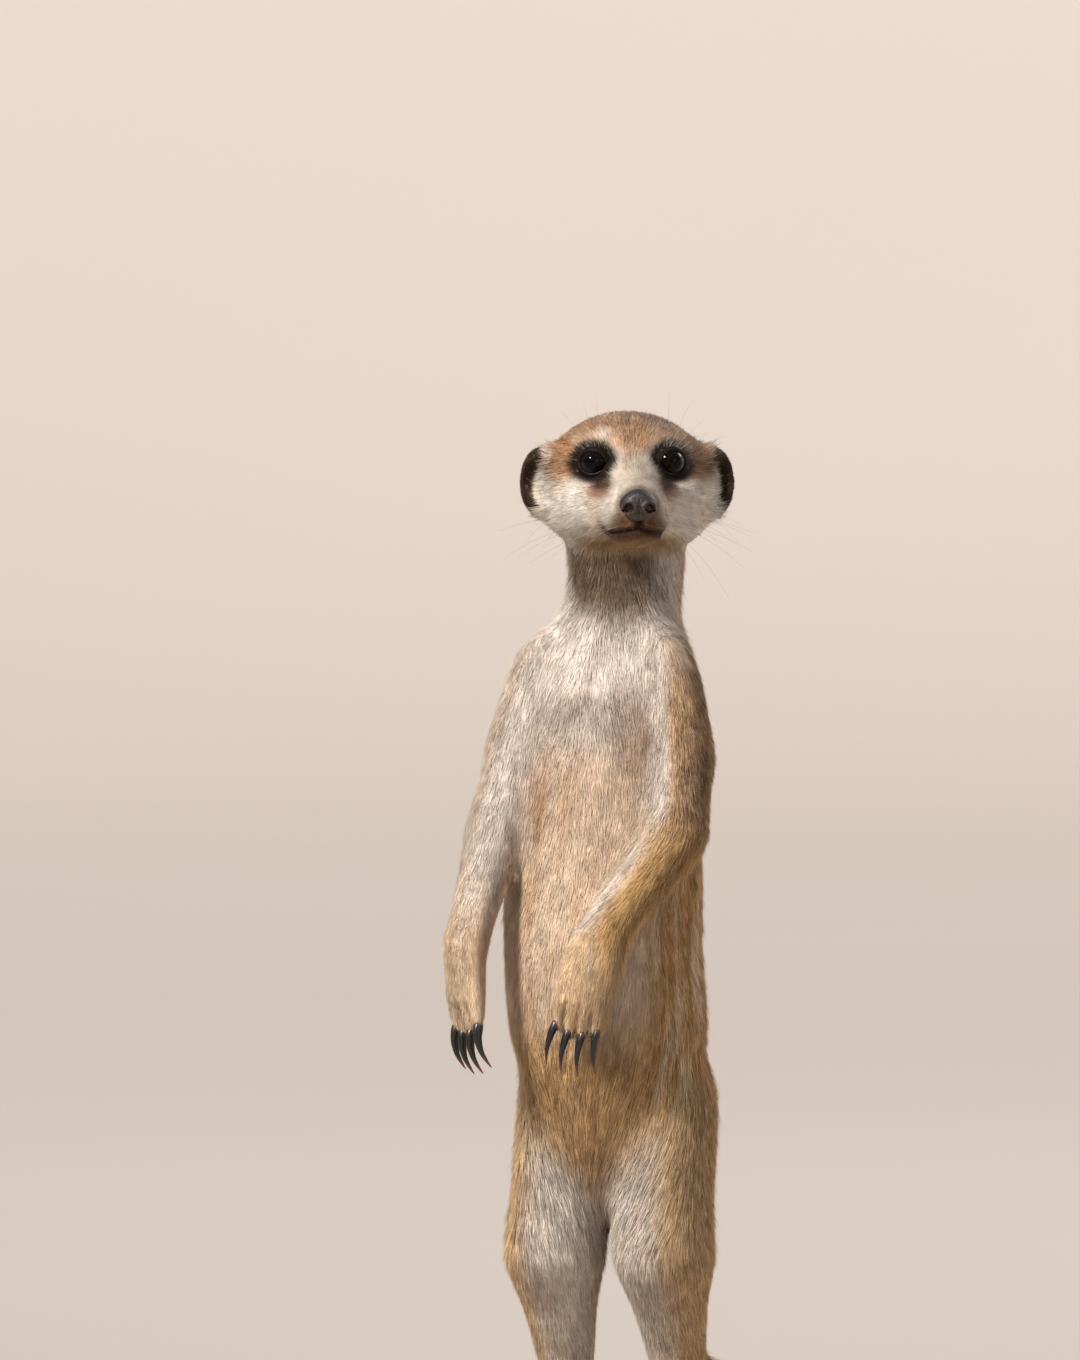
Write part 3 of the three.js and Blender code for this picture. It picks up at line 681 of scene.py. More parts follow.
# A dark parting runs down the throat, and the hair is grizzled outside, behind and on the crown.
parting = line_distance(place, [(8.0, -0.6, -28.5), (4.0, -1.6, -33), (0.5, -2.8, -38.5)])
parting_mark = fade(parting, 1.5, 0.5) * fade(forward, -4, 0)
colour = laid(colour, DARK_BROWN, 0.85 * parting_mark)
grizzle = np.clip(0.1 - 0.6 * bands + 0.75 * of_arm * arm_out + 0.55 * behind + 0.7 * flank + 0.6 * low_belly
                  + 0.5 * of_leg, 0, 1)
grizzle = grizzle * (1 - of_head) + of_head * (0.06 + 0.8 * np.maximum(top, nape))

skin_colour = skin.data.color_attributes.new("coat_colour", "FLOAT_COLOR", "POINT")
skin_colour.data.foreach_set("color", np.column_stack([colour, np.ones(len(colour))]).astype(np.float32).ravel())


class Socket:
    """A value in a material. Python's operators on it add Math nodes."""

    def __init__(self, tree, source=None):
        self.tree, self.source = tree, source

    def node(self, kind, settings=None, sockets=None, output=0):
        """Adds a node: its settings first, then values or links for its sockets. Gives one of its outputs."""
        made = self.tree.nodes.new(kind)
        for key, value in (settings or {}).items():
            if key == "stops":
                while len(made.color_ramp.elements) < len(value):
                    made.color_ramp.elements.new(1.0)
                for element, (position, paint) in zip(made.color_ramp.elements, value):
                    element.position, element.color = position, (*paint, 1)
            else:
                setattr(made, key, value)
        self.fill(made, sockets or {})
        return Socket(self.tree, made.outputs[output])

    def fill(self, made, sockets):
        for key, value in sockets.items():
            socket = made.inputs[key] if isinstance(key, int) else next(
                s for s in made.inputs if key in (s.identifier, s.name))
            if isinstance(value, Socket):
                self.tree.links.new(value.source, socket)
            else:
                socket.default_value = (*value, 1) if socket.type == "RGBA" and len(value) == 3 else value

    def maths(self, operation, first, second):
        return self.node("ShaderNodeMath", {"operation": operation}, {0: first, 1: second})

    def __add__(self, other):
        return self.maths("ADD", self, other)

    def __sub__(self, other):
        return self.maths("SUBTRACT", self, other)

    def __rsub__(self, other):
        return self.maths("SUBTRACT", other, self)

    def __mul__(self, other):
        return self.maths("MULTIPLY", self, other)

    __radd__ = __add__
    __rmul__ = __mul__

    def between(self, low, high):
        """0 at low, 1 at high, smooth between."""
        return self.node("ShaderNodeMapRange", {"interpolation_type": "SMOOTHSTEP"},
                         {"Value": self, "From Min": low, "From Max": high})

    def mixed(self, first, second):
        """The first colour, with the second mixed in by this value."""
        return self.node("ShaderNodeMix", {"data_type": "RGBA"},
                         {"Factor_Float": self, "A_Color": first, "B_Color": second}, 2)


def new_finish(name, **constants):
    """A material, its Principled shader with the constants set, and its Object coordinates."""
    material = bpy.data.materials.new(name)
    material.use_nodes = True
    start = Socket(material.node_tree)
    shader = material.node_tree.nodes["Principled BSDF"]
    start.fill(shader, {key.replace("_", " "): value for key, value in constants.items()})
    return material, start, shader, start.node("ShaderNodeTexCoord", output=3)


def noise(start, place, size, detail=2.0):
    """Noise of about the given size in millimetres. size may be three numbers, for a stretched grain."""
    if not isinstance(size, (int, float)):
        place = start.node("ShaderNodeMapping", {}, {"Vector": place, "Scale": [1 / s for s in size]})
        size = 1
    return start.node("ShaderNodeTexNoise", {}, {"Vector": place, "Scale": 1 / (size * MM), "Detail": detail})


def toned(start, paint, tone):
    """The paint, darkened by a tone."""
    return start.node("ShaderNodeMix", {"data_type": "RGBA", "blend_type": "MULTIPLY"},
                      {"Factor_Float": 1.0, "A_Color": paint, "B_Color": tone}, 2)


material, start, shader, place_in = new_finish("skin_under_coat", Specular_IOR_Level=0.1)
paint = start.node("ShaderNodeAttribute", {"attribute_name": "coat_colour"})
strand = noise(start, place_in, (0.3, 0.3, 2.4), 3.0)
lighter = strand.between(0.3, 0.7)
start.fill(shader, {
    "Base Color": lighter.mixed(toned(start, paint, (0.84, 0.81, 0.78)), paint),
    "Roughness": 0.62 + 0.2 * strand,
    "Normal": start.node("ShaderNodeBump", {}, {"Strength": 0.6, "Distance": 0.25 * MM, "Height": strand}),
})
skin.data.materials.append(material)

# ------------------------------------------------------------------ eyes
# Two glass balls set deep behind the lids, with a domed cornea over a dark brown iris and a black pupil.
# A thin wet rim of dark skin runs round each of them, inside the edge of the lids.

# How far round from its middle the cornea reaches and how far it stands out, and the other radii, in millimetres.
CORNEA_REACH = math.radians(40)
CORNEA_RISE = 0.5
PUPIL = 2.1
IRIS = 3.5
RIM_RADIUS = 0.19
RIM_STEPS = 72


def tube(path, radii, sides):
    """Points and faces of a closed round tube along a path."""
    path = np.asarray(path, dtype=float)
    along = unit(np.gradient(path, axis=0))
    guide = unit(np.cross(along[0], (0.3, 0.5, 0.81)))
    rings = []
    for middle, way, radius in zip(path, along, radii):
        guide = unit(guide - way * (guide @ way))
        other = np.cross(way, guide)
        turns = np.arange(sides) * 2 * math.pi / sides
        rings.append(middle + radius * (np.cos(turns)[:, None] * guide + np.sin(turns)[:, None] * other))
    faces = []
    for ring in range(len(path) - 1):
        for corner in range(sides):
            after = (corner + 1) % sides
            faces.append((ring * sides + corner, ring * sides + after,
                          (ring + 1) * sides + after, (ring + 1) * sides + corner))
    last = (len(path) - 1) * sides
    faces += [tuple(range(sides))[::-1], tuple(last + corner for corner in range(sides))]
    return np.concatenate(rings), faces


def mesh_piece(name, points, faces, material, slot, *replaced):
    """A finished piece of the animal from its points and faces."""
    mesh = bpy.data.meshes.new(name)
    mesh.from_pydata(np.asarray(points).tolist(), [], faces)
    mesh.polygons.foreach_set("use_smooth", np.ones(len(mesh.polygons), dtype=bool))
    mesh.materials.append(material)
    piece = bpy.data.objects.new(name, mesh)
    bpy.context.collection.objects.link(piece)
    finish_piece(piece, slot, *replaced)
    return piece


eye_material, start, shader, place_in = new_finish("eye_glass", IOR=1.38, Specular_IOR_Level=0.2)
out = start.node("ShaderNodeAttribute", {"attribute_name": "from_pupil"}, output=2)
fibres = noise(start, place_in, 0.35, 4.0)
iris = fibres.between(0.3, 0.75).mixed((0.003, 0.0015, 0.001), (0.011, 0.0045, 0.0025))
iris = (out + 0.25 * fibres).between(IRIS - 0.55, IRIS + 0.25).mixed(iris, (0.003, 0.002, 0.002))
start.fill(shader, {
    "Base Color": (out + 0.12 * fibres).between(PUPIL - 0.1, PUPIL + 0.2).mixed((0.002, 0.002, 0.003), iris),
    "Roughness": 0.02 + 0.03 * fibres.between(0.4, 0.8),
})
rim_material, start, shader, place_in = new_finish(
    "wet_rim", Coat_Weight=0.05, Coat_Roughness=0.15, Specular_IOR_Level=0.12)
moist = noise(start, place_in, 0.5)
start.fill(shader, {
    "Base Color": moist.between(0.35, 0.7).mixed((0.006, 0.004, 0.004), (0.028, 0.014, 0.011)),
    "Roughness": 0.32 + 0.15 * moist,
})
for side in SIDES:
    unselect()
    ahead, outward, upward = gaze(side)
    bpy.ops.mesh.primitive_uv_sphere_add(segments=64, ring_count=48, radius=EYEBALL * MM)
    ball = bpy.context.active_object
    ball.name = f"eyeball_{side}"
    places = coordinates(ball.data) / MM
    turn = np.arccos(np.clip(places[:, 2] / EYEBALL, -1, 1))
    rise = CORNEA_RISE * fade(turn, CORNEA_REACH, CORNEA_REACH * 0.25)
    places = unit(places) * (EYEBALL - 0.04 + rise)[:, None]
    places = places @ np.stack([outward, upward, ahead]) + eyeball_centre(side)
    if SIDES[side] < 0:
        ball.data.flip_normals()
    set_coordinates(ball.data, out_of_head(places))
    ball.data.attributes.new("from_pupil", "FLOAT", "POINT").data.foreach_set(
        "value", (EYEBALL * np.sin(np.minimum(turn, math.pi / 2))).astype(np.float32))
    bpy.ops.object.shade_smooth()
    ball.data.materials.append(eye_material)
    finish_piece(ball, "eye_wet", f"eye_{side}")
    angles = np.linspace(0, 2 * math.pi, RIM_STEPS + 1)
    edge = np.arcsin(np.clip((lid_edge(angles) - 0.05) / EYEBALL, 0, 0.97))[:, None]
    ring = (np.cos(edge) * ahead + np.sin(edge) * (np.cos(angles)[:, None] * outward
                                                   + np.sin(angles)[:, None] * upward))
    ring = eyeball_centre(side) + ring * (EYEBALL + 0.12)
    rim_points, rim_faces = tube(out_of_head(ring), np.full(RIM_STEPS + 1, RIM_RADIUS * MM), 8)
    mesh_piece(f"eye_rim_{side}", rim_points, rim_faces, rim_material, "eye_wet")

# ------------------------------------------------------------------ nose
# The bare pad of the nose: damp, pebbled skin, dark grey on top and rusty round the two open nostrils.

NOSE_HALF = np.array([4.9, 6.05, 5.0])
NOSTRIL = (0.80, 0.50, -0.20)
NOSTRIL_RADIUS = 1.35
NOSTRIL_DEPTH = 2.3

unselect()
bpy.ops.mesh.primitive_uv_sphere_add(segments=128, ring_count=96, radius=1)
nose = bpy.context.active_object
nose.name = "nose_pad"
v = unit(coordinates(nose.data))[:, [2, 0, 1]]
shape = v * NOSE_HALF
shape[:, 1] *= 1 - 0.14 * fade(v[:, 2], 0.1, 1.0) - 0.22 * fade(v[:, 2], -0.1, -1.0)
shape[:, 1:] *= 1 - 0.42 * fade(v[:, 0], 0.25, -0.6)[:, None]
shape[:, 0] -= 0.55 * fade(v[:, 0], 0.75, 1.0)
shape[:, 0] -= 0.9 * fade(v[:, 2], -0.15, -1.0) * fade(v[:, 0], 0.0, 0.6)
for sign in SIDES.values():
    middle = unit(np.array(NOSTRIL) * (1, sign, 1)) * NOSE_HALF
    across = (shape - middle)[:, 1:] * (sign, 1)
    from_slit = line_distance(np.column_stack([np.zeros(len(shape)), across]), [(0, 0.0, 0.0), (0, 1.9, -0.9)])
    from_hole = np.minimum(np.linalg.norm(across, axis=1) / NOSTRIL_RADIUS, from_slit / 0.5 + 0.25)
    front = fade(v[:, 0], 0.1, 0.35)
    shape[:, 0] -= NOSTRIL_DEPTH * np.exp(-(from_hole**4)) * front
    shape[:, 0] += 0.32 * np.exp(-(((from_hole - 1.45) / 0.35) ** 2)) * front
shape[:, 0] -= 0.38 * np.exp(-((shape[:, 1] / 0.34) ** 2)) * fade(v[:, 0], 0.2, 0.5) * fade(v[:, 2], 0.5, -0.1)
hole = np.minimum(*(np.linalg.norm(shape[:, 1:] - (unit(np.array(NOSTRIL) * (1, s, 1)) * NOSE_HALF)[1:], axis=1)
                    for s in SIDES.values()))
set_coordinates(nose.data, out_of_head(shape + NOSE_PLACE))
nose.data.attributes.new("from_nostril", "FLOAT", "POINT").data.foreach_set("value", hole.astype(np.float32))
nose.data.attributes.new("up_the_nose", "FLOAT", "POINT").data.foreach_set("value", shape[:, 2].astype(np.float32))
bpy.ops.object.mode_set(mode="EDIT")
bpy.ops.mesh.select_all(action="SELECT")
bpy.ops.mesh.normals_make_consistent(inside=False)
bpy.ops.object.mode_set(mode="OBJECT")
bpy.ops.object.shade_smooth()
material, start, shader, place_in = new_finish("nose_leather", Coat_Weight=0.2, Coat_Roughness=0.3)
hole = start.node("ShaderNodeAttribute", {"attribute_name": "from_nostril"}, output=2)
high = start.node("ShaderNodeAttribute", {"attribute_name": "up_the_nose"}, output=2)
pebbles = start.node("ShaderNodeTexVoronoi", {}, {"Vector": place_in, "Scale": 1 / (0.42 * MM)})
worn = noise(start, place_in, 1.6, 3.0)
paint = (high + 2.2 * (worn - 0.5)).between(-1.2, 1.6).mixed((0.034, 0.014, 0.009), (0.032, 0.026, 0.029))
paint = (hole + 1.2 * (worn - 0.5)).between(2.7, 1.6).mixed(paint, (0.13, 0.045, 0.022))
paint = hole.between(1.35, 0.95).mixed(paint, (0.004, 0.002, 0.002))
start.fill(shader, {
    "Base Color": (pebbles * 1.6).between(0.35, 0.9).mixed(paint, (0.012, 0.009, 0.009)),
    "Roughness": 0.34 + 0.22 * worn,
    "Normal": start.node("ShaderNodeBump", {"invert": True}, {
        "Strength": 0.75, "Distance": 0.16 * MM, "Height": pebbles}),
})
nose.data.materials.append(material)
finish_piece(nose, "nose_skin", "nose")

# ------------------------------------------------------------------ claws
# Long digging claws of dark horn, one on every finger and toe, glossy black with reddish tips. Each arches
# from a thick root, which sits in the end of its finger.

# How much thicker each is at its root, and how far its middle is arched, in millimetres.
CLAW_ROOT = 0.42
CLAW_ARCH = {"hand": (-0.6, -0.8, 0.0), "foot": (0.0, 0.0, 0.5)}

material, start, shader, place_in = new_finish("claw_horn", Coat_Weight=0.2, Coat_Roughness=0.15)
run = start.node("ShaderNodeAttribute", {"attribute_name": "along_claw"}, output=2)
grain = noise(start, place_in, (0.35, 0.35, 3.0), 3.0)
horn = (run + 0.25 * (grain - 0.5)).between(0.62, 0.98).mixed((0.0085, 0.0075, 0.008), (0.15, 0.042, 0.018))
start.fill(shader, {
    "Base Color": (run - 0.1 * grain).between(0.12, 0.0).mixed(horn, (0.05, 0.03, 0.022)),
    "Roughness": 0.22 + 0.25 * grain,
    "Normal": start.node("ShaderNodeBump", {}, {"Strength": 0.25, "Distance": 0.05 * MM, "Height": grain}),
})
for limb in ("hand", "foot"):
    for side in SIDES:
        unselect()
        names = [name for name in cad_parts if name.startswith(f"claw_{limb}_{side}")]
        root = box_middle(f"{limb}_{side}")
        for name in names:
            claw = node_copy(name)
            round_claw = claw.modifiers.new("rounded", "SUBSURF")
            round_claw.levels = round_claw.render_levels = 2
            bpy.context.view_layer.objects.active = claw
            bpy.ops.object.modifier_apply(modifier=round_claw.name)
            places = coordinates(claw.data)
            away = np.linalg.norm(places - root, axis=1)
            run = (away - away.min()) / (away.max() - away.min())
            places = places + (CLAW_ROOT * MM * (1 - run) ** 0.7)[:, None] * normals(claw.data)
            set_coordinates(claw.data, places + MM * (4 * run * (1 - run))[:, None] * np.array(CLAW_ARCH[limb]))
            claw.data.attributes.new("along_claw", "FLOAT", "POINT").data.foreach_set(
                "value", run.astype(np.float32))
            claw.data.materials.clear()
            claw.data.materials.append(material)
            claw.select_set(True)
        bpy.ops.object.join()
        claws = bpy.context.active_object
        claws.name = f"claws_{limb}_{side}"
        bpy.ops.object.shade_smooth()
        finish_piece(claws, "claw_horn", *names)

# ------------------------------------------------------------------ coat
# The hair, as fine tapering tufts of solid mesh rooted in the skin. They lie back from the nose over the head,
# down the body and out along limbs and tail: short and flat in front, longer and shaggier on flanks and back.

# Length, width, height of the tips over the skin in millimetres, and hairs on a square millimetre.
HAIR = {
    "head": (3.0, 0.24, 0.55, 9.5), "ear": (1.7, 0.2, 0.35, 9.0), "neck": (4.8, 0.24, 1.0, 5.2),
    "trunk_upper": (5.2, 0.26, 0.8, 5.0), "trunk_lower": (5.6, 0.27, 0.85, 4.6),
    "upper_arm": (4.6, 0.24, 0.75, 5.4), "forearm": (4.0, 0.23, 0.7, 6.0), "hand": (3.8, 0.22, 0.55, 6.5),
    "thigh": (6.2, 0.27, 1.1, 4.2), "shank": (4.8, 0.26, 0.8, 4.6), "foot": (3.3, 0.25, 0.38, 5.3),
    "tail": (6.5, 0.28, 1.0, 4.4),
}
# The hair of each length of a limb runs along it, the way that leads from the first part here to the second.
RUNS = {"upper_arm": ("upper_arm", "forearm"), "forearm": ("forearm", "hand"), "hand": ("forearm", "hand"),
        "thigh": ("thigh", "shank"), "shank": ("thigh", "shank"), "foot": ("shank", "foot")}
BACK_HAIR = 1.25
MUZZLE_HAIR = 0.42
# How unlike its neighbours a hair is in length, width and height, and how much longer and higher a stray one is.
HAIR_SPREAD = (0.22, 0.2, 0.28)
STRAY_LENGTH = 0.25
STRAY_HEIGHT = 1.1
# How far apart the tips gather, in millimetres, how far a tip is drawn at most, as a share of the hair's length,
# and how unlike each other the gathered clumps are in tone.
CLUMP_SPACING = 1.9
CLUMP_REACH = 0.3
CLUMP_TONE = 0.13
# A hair is a three-sided needle, rooted a little below the skin, and has its own small patch of the map.
NEEDLE_FACES = [(0, 3, 1), (1, 3, 2), (2, 3, 0), (0, 1, 2)]
NEEDLE_THICKNESS = 0.2
ROOT_DEPTH = 0.22
PATCH_SIZE = 0.003
PATCH_CORNERS = [(-0.5, -0.5), (0.5, -0.5), (0, -0.36), (0, 0.5)]
PALE_COATS = ("coat_face", "coat_cheeks", "coat_chest", "coat_belly")
chance = np.random.default_rng(20)

# The lie of the hair at every point of the skin, and its length, width, height and number there.
way = np.zeros((len(points), 3))
for number, name in enumerate(FLESH):
    chosen = skin_part == number
    kind, _, side = name.rpartition("_")
    if kind in RUNS:
        solid = coordinates(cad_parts[name].data)
        axis = np.linalg.svd(solid - solid.mean(axis=0), full_matrices=False)[2][0]
        first, second = (box_middle(f"{part}_{side}") for part in RUNS[kind])
        way[chosen] = axis * np.sign(axis @ (second - first))
    elif name.startswith("tail"):
        run = np.linalg.norm(points[chosen] - box_middle("trunk_lower"), axis=1)
        steps = np.linspace(run.min(), run.max(), 7)
        index = np.clip(np.digitize(run, steps) - 1, 0, 5)
        middles = np.array([points[chosen][index == i].mean(axis=0) for i in range(6)])
        way[chosen] = unit(np.gradient(middles, axis=0))[index]
    elif name.startswith("ear"):
        way[chosen] = unit((-0.5, 0.9 * SIDES[side], 0.35)) @ HEAD_AXES
    elif name == "head":
        nose_tip = NOSE_PLACE + (3, 0, 2)
        back = unit(place[chosen] - nose_tip)
        back[:, 2] -= 0.2 + 1.1 * fade(place[chosen][:, 0], -14, -26)
        way[chosen] = back @ HEAD_AXES
    else:
        way[chosen] = (0, 0, -1)
trunk_like = 1 - np.clip(of_head + of_arm + of_leg + of_tail, 0, 1)
only_head = np.array([name == "head" for name in FLESH])[skin_part]
ear_way = np.sign(place[:, 1])[:, None] * np.array([(0.0, 1.0, 0.15)]) @ HEAD_AXES
sway = 0.16 * ripple(body, (14, 14, 30), 31) + 0.1 * ripple(body, (5, 5, 12), 32)
way[:, 0] += sway * trunk_like
way[:, 0] += 0.45 * trunk_like * fade(body[:, 2], 205, 228) * fade(round_body, 85, 50) * np.tanh(body[:, 0] / 9)
way[:, 0] -= 0.55 * fade(body[:, 2], 128, 100) * trunk_like * np.tanh((body[:, 0] + 4) / 12) * (round_body < 75)
before_ear = patch(np.column_stack([np.minimum(forward, -6), beside, up]), (-9, 23, -3), (7, 5, 15), 0.4)
way += np.clip(1.2 * before_ear, 0, 1)[:, None] * only_head[:, None] * ear_way
way = unit(spread(unit(way), pairs, 26))
way = unit(way - (way * facing).sum(axis=1)[:, None] * facing)
turning = 0.5 * share("upper_arm", "forearm", "thigh", "shank", "tail_base", rounds=40)
for turn in range(6):
    way = unit(spread(way, pairs, 14, turning))
    way = unit(way - (way * facing).sum(axis=1)[:, None] * facing)

hair = np.array([part_value(HAIR, name) for name in FLESH])[skin_part]
head_size = MUZZLE_HAIR + (1 - MUZZLE_HAIR) * fade(forward, 19, 2)
head_size *= 1 + 0.5 * fade(forward, -6, -22) + 0.25 * fade(up, -8, -20) * fade(forward, 8, -4)
hair[only_head, 0] *= head_size[only_head]
hair[only_head, 1] *= (0.72 + 0.28 * head_size)[only_head]
hair[only_head, 2] *= (0.35 + 0.65 * head_size)[only_head]
hair[only_head, 3] /= (0.55 + 0.45 * head_size)[only_head] ** 1.2
# Longer and shaggier behind, on the flanks and haunches and along the tail, and in a fringe over each ear's edge.
shag = np.clip(fade(round_body, 62, 100) * trunk_like + 0.8 * of_tail + 0.6 * of_leg * fade(body[:, 2], 30, 70)
               + 0.7 * low_belly + 0.45 * of_arm * fade(facing[:, 0] * side_of + 0.7 * facing[:, 1], 0.3, 1.0), 0, 1)
hair[:, 0] *= 1 + (BACK_HAIR - 1) * shag
hair[:, 2] *= 1 + 0.7 * shag
under_arm = left_forearm * fade(facing[:, 2] - 0.7 * facing[:, 0], 0.1, -0.6)
hair[:, 0] *= 1 + 0.7 * under_arm
hair[:, 2] *= 1 + 1.2 * under_arm
fringe = only_head * np.maximum(patch(np.abs(place), (12, 23, 6), (9, 5, 15), 0.4) * fade(forward, -22, -14),
                                patch(place * (1, 0, 1) + np.array([0, 1, 0]) * beside[:, None],
                                      (-9, 23.5, 4.5), (6, 4.5, 4.5), 0.4))
fringe *= fade(forward, 3, -5) * fade(beside, 16, 20)
hair[:, 0] *= 1 + 0.9 * fringe
hair[:, 2] *= 1 + 2.2 * fringe
hair = spread(hair, pairs, 16)
# None grows on the lids' edges, the nose pad, the lips or the soles.
bare = fade(pad, 5.2, 6.0) * fade(from_mouth, 0.35, 0.8)
for side in SIDES:
    reach, past, rise, front = round_the_eye(place, side)
    around_eye = (reach < 9) & (front > -0.2)
    bare *= np.where(around_eye, fade(past, 0.9, 1.7), 1)
    short = np.where(around_eye, 0.38 + 0.62 * fade(past, 1.0, 5.5), 1)
    hair[:, 0] *= short
    hair[:, 2] *= 0.4 + 0.6 * short
bare *= fade(points[:, 2] / MM, 0.5, 1.6)
hair[:, 3] *= bare

colour_now = np.clip(colour, 0, 1)
polygons = [p.vertices[:] for p in skin.data.polygons]
skin_tree = BVHTree.FromPolygons(points.tolist(), polygons)
face_corner = np.array([p[0] for p in polygons])
region = np.full(len(points), "coat_crown_and_ears", dtype=object)
for number, name in enumerate(FLESH):
    chosen = skin_part == number
    if name.startswith("trunk"):
        front, back = ("chest", "back") if name == "trunk_upper" else ("belly", "rump")
        region[chosen & (round_body <= 80)] = f"coat_{front}"
        region[chosen & (round_body > 80)] = f"coat_{back}"
    elif name.rpartition("_")[0] in ("upper_arm", "forearm", "hand"):
        region[chosen] = "coat_arm_" + name.rpartition("_")[2]
    elif name.rpartition("_")[0] in ("thigh", "shank", "foot"):
        region[chosen] = "coat_leg_" + name.rpartition("_")[2]
    elif name.startswith("tail"):
        region[chosen] = "coat_tail"
    elif name == "neck":
        region[chosen] = "coat_neck"
    elif name == "head":
        region[chosen & (forward > 4)] = "coat_face"
        region[chosen & (forward <= 4) & (up < -3)] = "coat_cheeks"


def unwrapped(of_region):
    """The triangles of one region of the skin: the numbers of their points, and their corners on its unwrap."""
    faces = [polygons[i] for i in np.flatnonzero(of_region)]
    used = np.unique(np.concatenate([np.array(f) for f in faces]))
    renumber = np.full(len(points), -1)
    renumber[used] = np.arange(len(used))
    sheet_mesh = bpy.data.meshes.new("unwrap")
    sheet_mesh.from_pydata(points[used].tolist(), [], [tuple(renumber[list(f)].tolist()) for f in faces])
    sheet = bpy.data.objects.new("unwrap", sheet_mesh)
    bpy.context.collection.objects.link(sheet)
    unselect()
    sheet.select_set(True)
    bpy.context.view_layer.objects.active = sheet
    bpy.ops.object.mode_set(mode="EDIT")
    bpy.ops.mesh.select_all(action="SELECT")
    bpy.ops.uv.smart_project(angle_limit=math.radians(70), island_margin=0.001)
    bpy.ops.object.mode_set(mode="OBJECT")
    sheet_mesh.calc_loop_triangles()
    count = len(sheet_mesh.loop_triangles)
    corners, loops = np.empty(count * 3, dtype=np.int64), np.empty(count * 3, dtype=np.int64)
    sheet_mesh.loop_triangles.foreach_get("vertices", corners)
    sheet_mesh.loop_triangles.foreach_get("loops", loops)
    corners, loops = used[corners.reshape(-1, 3)], loops.reshape(-1, 3)
    uv = np.empty(len(sheet_mesh.loops) * 2)
    sheet_mesh.uv_layers.active.data.foreach_get("uv", uv)
    uv = uv.reshape(-1, 2)
    uv = (uv - uv.min(axis=0)) / (uv.max(axis=0) - uv.min(axis=0))
    bpy.data.objects.remove(sheet)
    return corners, uv[loops]


def on_skin(places):
    """The nearest point of the skin, and its normal, the lie of its hair and its colour."""
    spots, index = [], []
    for place_now in places.tolist():
        spot, _, face, _ = skin_tree.find_nearest(place_now)
        spots.append(spot[:])
        index.append(face)
    corner = face_corner[np.array(index)]
    return np.array(spots), facing[corner], way[corner], colour_now[corner]


